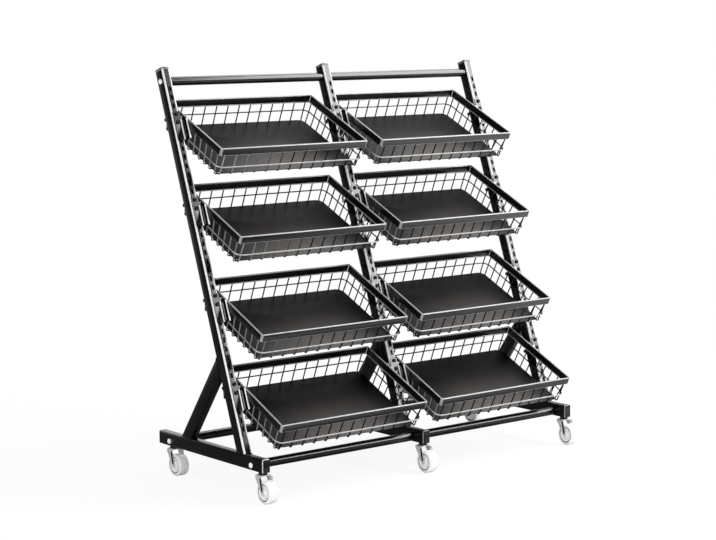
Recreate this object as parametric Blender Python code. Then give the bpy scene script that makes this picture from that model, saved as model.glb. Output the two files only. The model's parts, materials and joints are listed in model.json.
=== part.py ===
"""Slanted snack display rack: three leaning slotted uprights on feet with casters, and two columns of
shallow wire baskets that hang from brackets and lift off along the uprights.

Metres, Z up, front toward -Y, origin on the floor under the middle of the whole rack."""
import math

import bmesh
import bpy
from mathutils import Matrix, Vector

for old_object in list(bpy.data.objects):
    bpy.data.objects.remove(old_object, do_unlink=True)

# Fits
GAP = 0.0003               # air between two pieces that rest on each other
SLIP = 0.0005              # air on each side of a piece that slides or turns in another
BITE = 0.0004              # how deep one welded solid enters the next
SHARP_ANGLE = math.radians(40)

# Tube frame
BAY_PITCH = 0.568          # upright to upright, centre to centre
TUBE_WIDTH = 0.0254        # across the rack, all three kinds of rectangular tube
TUBE_DEPTH = 0.0381        # the other side of the tube
TUBE_WALL = 0.0018
FOOT_LENGTH = 0.508
FOOT_BOTTOM = 0.0825       # floor to the underside of the foot
UPRIGHT_LENGTH = 1.1035    # along the upright, foot top to the top of its cap
UPRIGHT_LEAN = math.radians(19.76)
UPRIGHT_STAND = -0.152     # where its middle line meets the foot top, from the middle of the foot
CAP_THICK = 0.0065
CAP_PLUG = 0.010
BRACE_STAND = 0.1163       # where the brace's middle line meets the foot top
BRACE_REACH = 0.2506       # how far up the upright the brace meets it

# Slots down the front face of each upright
SLOT_PITCH = 0.025
SLOT_LENGTH = 0.0150
SLOT_WIDTH = 0.0070
SLOT_FIRST = 0.0652        # top of the upright to the first slot's middle
SLOT_SHIFT = 0.001         # slots sit a little right of the middle of the face
SLOT_LAST = 0.060          # no slot nearer the foot than this

# Round cross rails and the bolts that hold their outer ends
RAIL_RADIUS = 0.0127
RAIL_WALL = 0.0015
RAIL_SIDES = 12
TOP_RAIL_DROP = 0.0380     # top of the upright down to the top rail's middle
FRONT_RAIL_BACK = 0.0525   # foot's front end to the front rail's middle
REAR_RAIL_BACK = 0.0543    # foot's rear end to the rear rail's middle
RAIL_RISE = 0.0145         # foot's underside up to the lower rails' middle
PLUG_LENGTH = 0.006
SPIGOT_LENGTH = 0.012
RAIL_BOLT_RADIUS = 0.0040
RAIL_BOLT_HEAD_RADIUS = 0.0070
RAIL_BOLT_HEAD = 0.0048

# Baskets, in the plane of their own rim
TIERS = 4
TOP_TIER_SLOT = 3          # slot that takes the top tier's upper bracket bolt, counted down from the first
LOW_TIER_SLOT = 6          # slot that takes the lowest tier's, counted up from below the last
BASKET_RISE = 0.0461       # that bolt up to the mark the basket is set out from
BASKET_BEHIND = 0.0504     # rim's rear top edge behind the upright's middle line, level
BASKET_TILT = math.radians(25.2)
BASKET_SIDE_GAP = 0.01355  # rim's outer face to the side of the upright
BASKET_DEPTH = 0.2985
BASKET_HEIGHT = 0.090
RIM_HEIGHT = 0.0227
RIM_THICK = 0.005
RIM_CORNER = 0.006
WIRE = 0.0038
WIRE_BITE = 0.0015         # how far a wire's end enters the rim
WIRES_ACROSS = 13          # wires that run front to back
WIRES_ALONG = 10           # wires that run side to side
WIRE_EDGE_ACROSS = 0.0178  # rim's side to the first wire, at the rim
WIRE_EDGE_ALONG = 0.0137
BOTTOM_EDGE = 0.0090       # bottom's side to the first wire, at the bottom
TAPER_FRONT = 0.0055       # how far the front and back walls draw in
TAPER_SIDE = 0.0095
RING_FRONT = 0.059         # rim's top down to the ring wire, at the front
RING_REAR = 0.051          # the same at the rear
PANEL_THICK = 0.002
PANEL_CORNER = 0.022
PANEL_STEPS = 3
PANEL_MARGIN = 0.001

# Brackets and the hooks that drop into them
PLATE = 0.002
CHANNEL_BACK = 0.019       # from the upright's front face back to the channel's web
CHANNEL_AHEAD = 0.014      # channel's outer leg ahead of the upright's front face
CHANNEL_LENGTH = 0.0587
FLANGE_TAB = 0.0080        # flange past the upper bolt
FLANGE_REACH = 0.010       # flange past the upright's middle line
HOOK_DEPTH = 0.015
HOOK_ARM = 0.012
HOOK_WELD = 0.001          # arm above the rim's lower edge
HOOK_SHORT = 0.003         # tongue's tip above the channel's lower end
BRACKET_BOLT_RADIUS = 0.0029
BRACKET_BOLT_HEAD_RADIUS = 0.0056
BRACKET_BOLT_HEAD = 0.0042
BRACKET_NUT = 0.018
HEX_SIDES = 6

# Casters
WHEEL_RADIUS = 0.0315
WHEEL_WIDTH = 0.032
WHEEL_SIDES = 16
TREAD_EDGE = 0.0055
AXLE_RADIUS = 0.0040
AXLE_END = 0.0015          # axle past the cheeks
HUB_WALL = 0.004
TRAIL = 0.0220             # wheel's axle ahead of the swivel line
FRONT_SWIVEL = 0.0165      # foot's front end to the swivel line
REAR_SWIVEL = 0.0585       # foot's rear end to the swivel line
FORK_TOP = 0.0765          # floor to the top of the fork's plate
FORK_PLATE = 0.003
FORK_CHEEK = 0.002
FORK_SLACK = 0.001
FORK_LENGTH = 0.030
FORK_TOE = 0.0065          # radius of the cheek's lower end
CUP_RADIUS = 0.0125
KINGPIN_RADIUS = 0.0050
PIN_SIDES = 10
KINGPIN_RISE = 0.007       # kingpin's tip above the underside of the foot

# Sizes that follow
HALF_WIDTH = TUBE_WIDTH / 2
HALF_DEPTH = TUBE_DEPTH / 2
FOOT_TOP = FOOT_BOTTOM + TUBE_DEPTH
LOW_RAIL_Z = FOOT_BOTTOM + RAIL_RISE
COLUMN_X = {"left": -BAY_PITCH, "middle": 0.0, "right": BAY_PITCH}
BAY_X = {"left": -BAY_PITCH / 2, "right": BAY_PITCH / 2}
LEAN_SIN = math.sin(UPRIGHT_LEAN)
LEAN_COS = math.cos(UPRIGHT_LEAN)
TILT_SIN = math.sin(BASKET_TILT)
TILT_COS = math.cos(BASKET_TILT)
BASKET_WIDTH = BAY_PITCH - TUBE_WIDTH - 2 * BASKET_SIDE_GAP
RIM_SIDE = HALF_WIDTH + BASKET_SIDE_GAP       # upright's middle line to the rim's outer face
SLOT_TOP = UPRIGHT_LENGTH - SLOT_FIRST
SLOT_COUNT = int((SLOT_TOP - SLOT_LAST) / SLOT_PITCH) + 1
SLOT_MIDDLES = [SLOT_TOP - i * SLOT_PITCH for i in range(SLOT_COUNT)]
TIER_STEP = (SLOT_COUNT - LOW_TIER_SLOT - TOP_TIER_SLOT) / (TIERS - 1)
TIER_SLOTS = [round(TOP_TIER_SLOT + i * TIER_STEP) for i in range(TIERS)]
TOP_RAIL_AT = UPRIGHT_LENGTH - TOP_RAIL_DROP
TIER_MARKS = [SLOT_MIDDLES[i] + BASKET_RISE for i in TIER_SLOTS]

# The whole rack runs from the lowest basket's rim, or a front wheel, back to the feet or the top basket
LOWEST_RIM_Y = UPRIGHT_STAND + TIER_MARKS[-1] * LEAN_SIN + BASKET_BEHIND - BASKET_DEPTH * TILT_COS
FRONT_WHEEL_Y = -FOOT_LENGTH / 2 + FRONT_SWIVEL - TRAIL - WHEEL_RADIUS
TOP_RIM_Y = UPRIGHT_STAND + TIER_MARKS[0] * LEAN_SIN + BASKET_BEHIND
TOP_BASKET_Y = TOP_RIM_Y - TAPER_FRONT * TILT_COS + (BASKET_HEIGHT - WIRE - GAP) * TILT_SIN
UPRIGHT_TOP_Y = UPRIGHT_STAND + UPRIGHT_LENGTH * LEAN_SIN + HALF_DEPTH * LEAN_COS
REAR_Y = max(FOOT_LENGTH / 2, TOP_RIM_Y, TOP_BASKET_Y, UPRIGHT_TOP_Y)
FOOT_Y = -(min(LOWEST_RIM_Y, FRONT_WHEEL_Y) + REAR_Y) / 2
FOOT_FRONT = FOOT_Y - FOOT_LENGTH / 2
FOOT_REAR = FOOT_Y + FOOT_LENGTH / 2
STAND_Y = FOOT_Y + UPRIGHT_STAND

BLACK_COAT = ((0.012, 0.012, 0.013), 0.38, 0.0)
BLACK_TRAY = ((0.030, 0.029, 0.029), 0.48, 0.0)
BLACK_PLASTIC = ((0.014, 0.014, 0.015), 0.50, 0.0)
ZINC = ((0.68, 0.69, 0.70), 0.28, 1.0)
WHITE_PLASTIC = ((0.84, 0.84, 0.82), 0.42, 0.0)


def node_material(node, look):
    """A Principled material of the node's own."""
    colour, roughness, metallic = look
    made = bpy.data.materials.new(node + "_material")
    made.use_nodes = True
    shader = made.node_tree.nodes["Principled BSDF"]
    shader.inputs["Base Color"].default_value = (*colour, 1.0)
    shader.inputs["Roughness"].default_value = roughness
    shader.inputs["Metallic"].default_value = metallic
    return made


def mesh_of(solid, name):
    """A mesh with its faces turned outward from (points, faces)."""
    points, faces = solid
    mesh = bpy.data.meshes.new(name)
    mesh.from_pydata([tuple(p) for p in points], [], faces)
    work = bmesh.new()
    work.from_mesh(mesh)
    bmesh.ops.recalc_face_normals(work, faces=work.faces)
    work.to_mesh(mesh)
    work.free()
    return mesh


def shaped(base, steps):
    """The base solid after each step, ("UNION" or "DIFFERENCE", solid), as one mesh."""
    body = bpy.data.objects.new("body", mesh_of(base, "body"))
    bpy.context.scene.collection.objects.link(body)
    tools = []
    for operation, solid in steps:
        tool = bpy.data.objects.new("tool", mesh_of(solid, "tool"))
        tool.hide_render = True
        tool.display_type = "WIRE"
        bpy.context.scene.collection.objects.link(tool)
        change = body.modifiers.new(operation.lower(), "BOOLEAN")
        change.operation = operation
        change.solver = "EXACT"
        change.object = tool
        tools.append(tool)
    bpy.context.view_layer.update()
    graph = bpy.context.evaluated_depsgraph_get()
    result = bpy.data.meshes.new_from_object(body.evaluated_get(graph))
    for used in [body] + tools:
        bpy.data.objects.remove(used, do_unlink=True)
    return result


def place(node, mesh, look, where, parent=None):
    """Puts a node in the scene under its own name, with its own material."""
    item = bpy.data.objects.new(node, mesh.copy())
    item.data.name = node
    item.data.materials.clear()
    item.data.materials.append(node_material(node, look))
    item.data.shade_smooth()
    item.data.set_sharp_from_angle(angle=SHARP_ANGLE)
    bpy.context.scene.collection.objects.link(item)
    if parent is not None:
        item.parent = parent
        item.matrix_parent_inverse = parent.matrix_world.inverted()
    item.matrix_world = where
    bpy.context.view_layer.update()
    return item


def together(*solids):
    """Several solids that do not meet, as one list of points and faces."""
    points = []
    faces = []
    for more_points, more_faces in solids:
        start = len(points)
        points.extend(more_points)
        faces.extend([tuple(i + start for i in face) for face in more_faces])
    return points, faces


def moved(solid, matrix):
    points, faces = solid
    return [matrix @ Vector(p) for p in points], faces


def prism(outline, low, high, axes="xyz"):
    """A flat outline carried from low to high along the last of the axes."""
    count = len(outline)
    order = ["xyz".index(a) for a in axes]
    points = []
    for level in (low, high):
        for u, v in outline:
            point = [0.0, 0.0, 0.0]
            point[order[0]] = u
            point[order[1]] = v
            point[order[2]] = level
            points.append(point)
    faces = [tuple(range(count)), tuple(range(count, 2 * count))]
    for i in range(count):
        j = (i + 1) % count
        faces.append((i, j, count + j, count + i))
    return points, faces


def box(low, high):
    outline = [(low[0], low[1]), (high[0], low[1]), (high[0], high[1]), (low[0], high[1])]
    return prism(outline, low[2], high[2])


def circle(radius, sides, centre=(0.0, 0.0), flat=False):
    """Corners of a round outline; with flat, one side rather than one corner faces down."""
    turn = 0.5 if flat else 0.0
    size = radius / math.cos(math.pi / sides) if flat else radius
    steps = [2 * math.pi * (i + turn) / sides - math.pi / 2 for i in range(sides)]
    return [(centre[0] + size * math.cos(t), centre[1] + size * math.sin(t)) for t in steps]


def turned(profile, sides, axis="x", flat=False):
    """A solid turned about an axis from (along, radius) pairs that start and end on it."""
    rings = [(along, radius) for along, radius in profile if radius > 0]
    points = []
    for along, radius in rings:
        for u, v in circle(radius, sides, flat=flat):
            points.append({"x": (along, u, v), "y": (u, along, v), "z": (u, v, along)}[axis])
    faces = [tuple(range(sides)), tuple(range((len(rings) - 1) * sides, len(rings) * sides))]
    for ring in range(len(rings) - 1):
        for i in range(sides):
            j = (i + 1) % sides
            a, b = ring * sides, (ring + 1) * sides
            faces.append((a + i, a + j, b + j, b + i))
    return points, faces


def turned_ring(profile, sides, flat=False):
    """A solid with a bore, turned about X from a closed run of (along, radius) pairs."""
    points = []
    for along, radius in profile:
        for u, v in circle(radius, sides, flat=flat):
            points.append((along, u, v))
    faces = []
    count = len(profile)
    for ring in range(count):
        a, b = ring * sides, ((ring + 1) % count) * sides
        for i in range(sides):
            j = (i + 1) % sides
            faces.append((a + i, a + j, b + j, b + i))
    return points, faces


def band(outer, inner, low, high):
    """An upright wall between two outlines with the same number of corners."""
    count = len(outer)
    points = [(u, v, w) for w in (low, high) for ring in (outer, inner) for u, v in ring]
    faces = []
    for i in range(count):
        j = (i + 1) % count
        o0, i0, o1, i1 = 0, count, 2 * count, 3 * count
        faces.append((o0 + i, o0 + j, o1 + j, o1 + i))
        faces.append((i0 + i, i0 + j, i1 + j, i1 + i))
        faces.append((o0 + i, o0 + j, i0 + j, i0 + i))
        faces.append((o1 + i, o1 + j, i1 + j, i1 + i))
    return points, faces


def square_tube(low, high):
    """A rectangular tube along Z whose ends follow low(y) and high(y)."""
    rings = []
    for w, d in ((HALF_WIDTH, HALF_DEPTH), (HALF_WIDTH - TUBE_WALL, HALF_DEPTH - TUBE_WALL)):
        rings.append([(-w, -d), (w, -d), (w, d), (-w, d)])
    points, faces = band(rings[0], rings[1], 0.0, 1.0)
    return [(x, y, high(y) if z > 0.5 else low(y)) for x, y, z in points], faces


def chamfered(left, right, front, back, corner):
    """A rectangle with its corners cut off, counted the same way round for any size."""
    return [(left + corner, front), (right - corner, front), (right, front + corner),
            (right, back - corner), (right - corner, back), (left + corner, back),
            (left, back - corner), (left, front + corner)]


def rounded(left, right, front, back, corner, steps):
    outline = []
    for cx, cy, start in ((right - corner, front + corner, -90), (right - corner, back - corner, 0),
                          (left + corner, back - corner, 90), (left + corner, front + corner, 180)):
        for i in range(steps + 1):
            t = math.radians(start + 90 * i / steps)
            outline.append((cx + corner * math.cos(t), cy + corner * math.sin(t)))
    return outline


def leaning(x, along=0.0):
    """Frame of an upright: X across, Y to its back, Z up along it."""
    origin = Vector((x, STAND_Y + along * LEAN_SIN, FOOT_TOP + along * LEAN_COS))
    return Matrix.Translation(origin) @ Matrix.Rotation(-UPRIGHT_LEAN, 4, "X")


def basket_frame(bay, tier):
    """Frame of a basket: origin at the middle of the rim's rear top edge, Y back along the rim."""
    mark = TIER_MARKS[tier]
    y = STAND_Y + mark * LEAN_SIN + BASKET_BEHIND
    z = FOOT_TOP + mark * LEAN_COS
    return Matrix.Translation((BAY_X[bay], y, z)) @ Matrix.Rotation(BASKET_TILT, 4, "X")


# Feet: closed tubes, with a hole below for each kingpin and bolt holes or spigots at the rails
RAIL_YS = {"front": FOOT_FRONT + FRONT_RAIL_BACK, "rear": FOOT_REAR - REAR_RAIL_BACK}
SWIVEL_YS = {"front": FOOT_FRONT + FRONT_SWIVEL, "rear": FOOT_REAR - REAR_SWIVEL}
CASTER_PLACES = (("left", "front"), ("left", "rear"), ("middle", "front"), ("right", "front"),
                 ("right", "rear"))


def spigots(y, z):
    """Two short pegs on the sides of a middle tube that the rails slip over."""
    reach = HALF_WIDTH + SPIGOT_LENGTH
    root = HALF_WIDTH - TUBE_WALL / 2
    radius = RAIL_RADIUS - RAIL_WALL - SLIP
    outline = circle(radius, RAIL_SIDES, (y, z))
    return together(prism(outline, root, reach, "yzx"), prism(outline, -reach, -root, "yzx"))


def bolt_hole(y, z):
    return prism(circle(RAIL_BOLT_RADIUS + SLIP, RAIL_SIDES, (y, z)), -TUBE_WIDTH, TUBE_WIDTH, "yzx")


for side, x in COLUMN_X.items():
    hollow = box((-HALF_WIDTH + TUBE_WALL, FOOT_FRONT + TUBE_WALL, FOOT_BOTTOM + TUBE_WALL),
                 (HALF_WIDTH - TUBE_WALL, FOOT_REAR - TUBE_WALL, FOOT_TOP - TUBE_WALL))
    pin_holes = []
    for caster_side, end in CASTER_PLACES:
        if caster_side == side:
            ring = circle(KINGPIN_RADIUS + SLIP, PIN_SIDES, (0.0, SWIVEL_YS[end]))
            pin_holes.append(prism(ring, FOOT_BOTTOM - TUBE_WALL, FOOT_BOTTOM + 2 * TUBE_WALL))
    changes = [("DIFFERENCE", hollow), ("DIFFERENCE", together(*pin_holes))]
    rail_ends = [(y, LOW_RAIL_Z) for y in RAIL_YS.values()]
    if side == "middle":
        changes.append(("UNION", together(*[spigots(y, z) for y, z in rail_ends])))
    else:
        changes.append(("DIFFERENCE", together(*[bolt_hole(y, z) for y, z in rail_ends])))
    foot = box((-HALF_WIDTH, FOOT_FRONT, FOOT_BOTTOM), (HALF_WIDTH, FOOT_REAR, FOOT_TOP))
    place("foot_" + side, shaped(foot, changes), BLACK_COAT, Matrix.Translation((x, 0.0, 0.0)))


# Uprights: tubes mitred onto the feet, slotted down the front, with holes behind for bracket bolts
def tier_bolts(tier):
    return [SLOT_MIDDLES[TIER_SLOTS[tier] + i] for i in (0, 1)]


slots = []
for middle in SLOT_MIDDLES:
    low = (SLOT_SHIFT - SLOT_WIDTH / 2, -HALF_DEPTH - TUBE_WALL, middle - SLOT_LENGTH / 2)
    high = (SLOT_SHIFT + SLOT_WIDTH / 2, -HALF_DEPTH + 2 * TUBE_WALL, middle + SLOT_LENGTH / 2)
    slots.append(box(low, high))
nut_holes = []
for tier in range(TIERS):
    for middle in tier_bolts(tier):
        square = BRACKET_BOLT_RADIUS + SLIP
        ring = [(SLOT_SHIFT - square, middle - square), (SLOT_SHIFT + square, middle - square),
                (SLOT_SHIFT + square, middle + square), (SLOT_SHIFT - square, middle + square)]
        nut_holes.append(prism(ring, HALF_DEPTH - 2 * TUBE_WALL, HALF_DEPTH + TUBE_WALL, "xzy"))

TUBE_TOP = UPRIGHT_LENGTH - CAP_THICK - GAP
upright_tube = square_tube(lambda y: (GAP + y * LEAN_SIN) / LEAN_COS, lambda y: TUBE_TOP)
for side, x in COLUMN_X.items():
    changes = [("DIFFERENCE", together(*slots)), ("DIFFERENCE", together(*nut_holes))]
    if side == "middle":
        changes.append(("UNION", spigots(0.0, TOP_RAIL_AT)))
    else:
        changes.append(("DIFFERENCE", bolt_hole(0.0, TOP_RAIL_AT)))
    place("upright_" + side, shaped(upright_tube, changes), BLACK_COAT, leaning(x))

# Caps: flat plastic lids with a plug that enters the tube
plug_half = (HALF_WIDTH - TUBE_WALL - SLIP, HALF_DEPTH - TUBE_WALL - SLIP)
lid = box((-HALF_WIDTH, -HALF_DEPTH, -CAP_THICK), (HALF_WIDTH, HALF_DEPTH, 0.0))
plug = box((-plug_half[0], -plug_half[1], -CAP_THICK - CAP_PLUG), (*plug_half, -CAP_THICK / 2))
cap_mesh = shaped(lid, [("UNION", plug)])
for side, x in COLUMN_X.items():
    place("upright_cap_" + side, cap_mesh, BLACK_PLASTIC, leaning(x, UPRIGHT_LENGTH))

# Braces: tubes from the rear of the foot up to the back of the upright, mitred at both ends
brace_top_y = UPRIGHT_STAND + BRACE_REACH * LEAN_SIN + HALF_DEPTH * LEAN_COS
brace_top_z = BRACE_REACH * LEAN_COS - HALF_DEPTH * LEAN_SIN
BRACE_LEAN = math.atan2(BRACE_STAND - brace_top_y, brace_top_z)
to_back = (BRACE_STAND - UPRIGHT_STAND) * LEAN_COS
brace_angle = BRACE_LEAN + UPRIGHT_LEAN
brace_tube = square_tube(
    lambda y: (GAP - y * math.sin(BRACE_LEAN)) / math.cos(BRACE_LEAN),
    lambda y: (to_back + y * math.cos(brace_angle) - HALF_DEPTH - GAP) / math.sin(brace_angle))
brace_mesh = mesh_of(brace_tube, "brace")
for side, x in COLUMN_X.items():
    where = Matrix.Translation((x, FOOT_Y + BRACE_STAND, FOOT_TOP)) @ Matrix.Rotation(BRACE_LEAN, 4, "X")
    place("brace_" + side, brace_mesh, BLACK_COAT, where)

# Rails: round tubes, slipped over the middle spigots and held by a bolt at the outer end
rail_low = HALF_WIDTH + GAP
rail_high = BAY_PITCH - HALF_WIDTH - GAP
rail_inner = RAIL_RADIUS - RAIL_WALL
rail_tube = band(circle(RAIL_RADIUS, RAIL_SIDES), circle(rail_inner, RAIL_SIDES), rail_low, rail_high)
rail_tube = ([(z, x, y) for x, y, z in rail_tube[0]], rail_tube[1])
bolt_face = BAY_PITCH + HALF_WIDTH + GAP
rail_bolt = turned([(rail_high - PLUG_LENGTH, RAIL_RADIUS - RAIL_WALL / 2),
                    (rail_high - BITE, RAIL_RADIUS - RAIL_WALL / 2),
                    (rail_high - BITE, RAIL_BOLT_RADIUS),
                    (bolt_face, RAIL_BOLT_RADIUS),
                    (bolt_face, RAIL_BOLT_HEAD_RADIUS),
                    (bolt_face + RAIL_BOLT_HEAD, RAIL_BOLT_HEAD_RADIUS)], RAIL_SIDES)
rail_meshes = {"right": shaped(rail_tube, [("UNION", rail_bolt)])}
mirror = Matrix.Scale(-1.0, 4, (1.0, 0.0, 0.0))
rail_meshes["left"] = shaped(moved(rail_tube, mirror), [("UNION", moved(rail_bolt, mirror))])
top_rail = leaning(0.0, TOP_RAIL_AT).to_translation()
RAIL_PLACES = {"top_rail": (top_rail.y, top_rail.z), "front_rail": (RAIL_YS["front"], LOW_RAIL_Z),
               "rear_rail": (RAIL_YS["rear"], LOW_RAIL_Z)}
for rail, (y, z) in RAIL_PLACES.items():
    turn = -UPRIGHT_LEAN if rail == "top_rail" else 0.0
    for bay in BAY_X:
        where = Matrix.Translation((0.0, y, z)) @ Matrix.Rotation(turn, 4, "X")
        place(rail + "_" + bay, rail_meshes[bay], BLACK_COAT, where)

# Casters: a pressed fork with its cup, kingpin and axle, and a wheel that turns on the axle
fork_half = WHEEL_WIDTH / 2 + FORK_SLACK
axle_z = WHEEL_RADIUS
plate_low = FORK_TOP - FORK_PLATE
cheek = [(FORK_LENGTH / 2, FORK_TOP - BITE), (-FORK_LENGTH / 2, FORK_TOP - BITE)]
for degrees in (180, 225, 270, 315, 360):
    turn = math.radians(degrees)
    cheek.append((-TRAIL + FORK_TOE * math.cos(turn), axle_z + FORK_TOE * math.sin(turn)))
fork_side = fork_half + FORK_CHEEK
cheeks = (prism(cheek, fork_half, fork_side, "yzx"), prism(cheek, -fork_side, -fork_half, "yzx"))
plate_x = fork_side - BITE
plate_y = FORK_LENGTH / 2 - BITE
plate = prism(chamfered(-plate_x, plate_x, -plate_y, plate_y, FORK_CHEEK / 2), plate_low, FORK_TOP)
cup_top = FOOT_BOTTOM - GAP
pin_profile = [(plate_low + BITE, CUP_RADIUS), (cup_top, CUP_RADIUS), (cup_top, KINGPIN_RADIUS),
               (FOOT_BOTTOM + KINGPIN_RISE, KINGPIN_RADIUS)]
pin = turned(pin_profile, PIN_SIDES, "z")
axle_reach = fork_side + AXLE_END
axle = moved(turned([(-axle_reach, AXLE_RADIUS), (axle_reach, AXLE_RADIUS)], PIN_SIDES),
             Matrix.Translation((0.0, -TRAIL, axle_z)))
fork_mesh = shaped(plate, [("UNION", together(*cheeks)), ("UNION", pin), ("UNION", axle)])
wheel_half = WHEEL_WIDTH / 2
hub_half = wheel_half + FORK_SLACK - SLIP
bore = AXLE_RADIUS + GAP
rim_side = WHEEL_RADIUS - TREAD_EDGE
hub_side = bore + HUB_WALL
tread_half = wheel_half - TREAD_EDGE
half_profile = [(hub_half, bore), (hub_half, hub_side), (wheel_half, rim_side), (tread_half, WHEEL_RADIUS)]
wheel_profile = [(-along, radius) for along, radius in half_profile] + list(reversed(half_profile))
wheel_mesh = mesh_of(turned_ring(wheel_profile, WHEEL_SIDES, flat=True), "wheel")
for side, end in CASTER_PLACES:
    spot = Vector((COLUMN_X[side], SWIVEL_YS[end], 0.0))
    name = side + "_" + end
    fork = place("caster_fork_" + name, fork_mesh, ZINC, Matrix.Translation(spot))
    hub = spot + Vector((0.0, -TRAIL, axle_z))
    place("caster_wheel_" + name, wheel_mesh, WHITE_PLASTIC, Matrix.Translation(hub), fork)

# Brackets: a flange bolted to the upright's front and a channel beside it, open to the front and top
leg_out = HALF_WIDTH + GAP
channel_in = leg_out + PLATE
channel_out = RIM_SIDE - SLIP - PLATE
leg_end = RIM_SIDE - SLIP
face = -HALF_DEPTH - GAP
front = face - PLATE
leg_front = face - CHANNEL_AHEAD
web_back = -HALF_DEPTH + CHANNEL_BACK + PLATE
web_front = -HALF_DEPTH + CHANNEL_BACK
hook_back = web_front - 2 * SLIP
# The hook's arm is welded just above the rim's lower edge, where the hook's back face crosses the rim
slope = UPRIGHT_LEAN + BASKET_TILT
edge_ahead = -BASKET_BEHIND * LEAN_COS - RIM_HEIGHT * math.sin(slope)
edge_above = BASKET_BEHIND * LEAN_SIN - RIM_HEIGHT * math.cos(slope)
hook_seat = BASKET_RISE + edge_above - (-hook_back - edge_ahead) * math.tan(slope) + HOOK_WELD
channel_top = hook_seat - GAP
channel_low = channel_top - CHANNEL_LENGTH
right_side = [(leg_out, face), (leg_out, web_back), (leg_end, web_back), (leg_end, leg_front),
              (channel_out, leg_front), (channel_out, web_front), (channel_in, web_front),
              (channel_in, front)]
left_side = [(-x, y) for x, y in reversed(right_side)]
one_side = [(-FLANGE_REACH, face)] + right_side + [(-FLANGE_REACH, front)]
double = right_side + left_side
tab_low = channel_top - 2 * PLATE
tab = box((-FLANGE_REACH + BITE, front, tab_low), (HALF_WIDTH, face, FLANGE_TAB))
nut_face = HALF_DEPTH + GAP
bolt_profile = [(front - BRACKET_BOLT_HEAD, BRACKET_BOLT_HEAD_RADIUS),
                (front + BITE, BRACKET_BOLT_HEAD_RADIUS), (front + BITE, BRACKET_BOLT_RADIUS),
                (nut_face, BRACKET_BOLT_RADIUS), (nut_face, BRACKET_BOLT_HEAD_RADIUS),
                (nut_face + BRACKET_NUT, BRACKET_BOLT_HEAD_RADIUS)]
bolt = turned(bolt_profile, HEX_SIDES, "y")
bolts = together(*[moved(bolt, Matrix.Translation((SLOT_SHIFT, 0.0, z))) for z in (0.0, -SLOT_PITCH)])
mirrored_tab = box((-HALF_WIDTH, front, tab_low), (FLANGE_REACH - BITE, face, FLANGE_TAB))
both_tab = box((-HALF_WIDTH, front, tab_low), (HALF_WIDTH, face, FLANGE_TAB))
one_mirrored = [(-x, y) for x, y in one_side]
bracket_meshes = {}
for side, outline, flange in (("left", one_side, tab), ("middle", double, both_tab),
                              ("right", one_mirrored, mirrored_tab)):
    folded = prism(outline, channel_low, channel_top)
    bracket_meshes[side] = shaped(folded, [("UNION", flange), ("UNION", bolts)])
for side, x in COLUMN_X.items():
    for tier, slot in enumerate(TIER_SLOTS):
        name = "bracket_" + side + "_" + str(tier + 1)
        place(name, bracket_meshes[side], BLACK_COAT, leaning(x, SLOT_MIDDLES[slot]))


# Baskets: a flat-bar rim, wires welded under it that pass beneath the tray, a ring wire and two hooks
def swept(path, half, across):
    """A square wire along a path in a plane, at a place across that plane."""
    points = []
    for i, here in enumerate(path):
        before = path[max(i - 1, 0)]
        after = path[min(i + 1, len(path) - 1)]
        ways = []
        for a, b in ((before, here), (here, after)):
            length = math.hypot(b[0] - a[0], b[1] - a[1])
            if length > 0:
                ways.append(((b[0] - a[0]) / length, (b[1] - a[1]) / length))
        u = sum(w[0] for w in ways) / len(ways)
        v = sum(w[1] for w in ways) / len(ways)
        size = u * u + v * v
        side = (-v / size * half, u / size * half)
        for s, t in ((1, -1), (1, 1), (-1, 1), (-1, -1)):
            points.append((here[0] + s * side[0], here[1] + s * side[1], across + t * half))
    faces = [(0, 1, 2, 3), tuple(range(len(points) - 4, len(points)))]
    for k in range(len(path) - 1):
        for i in range(4):
            j = (i + 1) % 4
            faces.append((4 * k + i, 4 * k + j, 4 * k + 4 + j, 4 * k + 4 + i))
    return points, faces


half_wire = WIRE / 2
wall_drop = BASKET_HEIGHT - RIM_HEIGHT
rim_line = RIM_THICK / 2
lower_layer = -BASKET_HEIGHT + half_wire
upper_layer = lower_layer + WIRE + GAP
bite = RIM_HEIGHT - WIRE_BITE


def u_path(span, inset, layer):
    """A wire down one wall, along the bottom and up the other wall, from 0 to -span."""
    fall = (inset - rim_line) / (-RIM_HEIGHT - layer)
    start = rim_line - WIRE_BITE * fall
    return [(-start, -bite), (-inset, layer), (-span + inset, layer), (-span + start, -bite)]


def spread(count, span, edge, bottom_edge):
    """Places of the wires at the rim and at the bottom, each pair from the middle of the span."""
    pairs = []
    for i in range(count):
        share = 2 * i / (count - 1) - 1
        pairs.append((share * (span / 2 - edge), share * (span / 2 - bottom_edge)))
    return pairs


def fanned(solid, rim_place, bottom_place, to_point):
    """Leans a wire so that it starts at one place on the rim and ends at another at the bottom."""
    points = []
    for along, height, across in solid[0]:
        share = min(max((-RIM_HEIGHT - height) / wall_drop, 0.0), 1.0)
        points.append(to_point(along, height, across + rim_place + (bottom_place - rim_place) * share))
    return points, solid[1]


wires = []
front_inset = TAPER_FRONT + half_wire
side_inset = TAPER_SIDE + half_wire
for at_rim, at_bottom in spread(WIRES_ACROSS, BASKET_WIDTH, WIRE_EDGE_ACROSS, TAPER_SIDE + BOTTOM_EDGE):
    wire = swept(u_path(BASKET_DEPTH, front_inset, upper_layer), half_wire, 0.0)
    wires.append(fanned(wire, at_rim, at_bottom, lambda a, h, c: (c, a, h)))
for at_rim, at_bottom in spread(WIRES_ALONG, BASKET_DEPTH, WIRE_EDGE_ALONG, TAPER_FRONT + BOTTOM_EDGE):
    wire = swept(u_path(BASKET_WIDTH, side_inset, lower_layer), half_wire, 0.0)
    wires.append(fanned(wire, at_rim, at_bottom,
                        lambda a, h, c: (a + BASKET_WIDTH / 2, c - BASKET_DEPTH / 2, h)))


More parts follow.
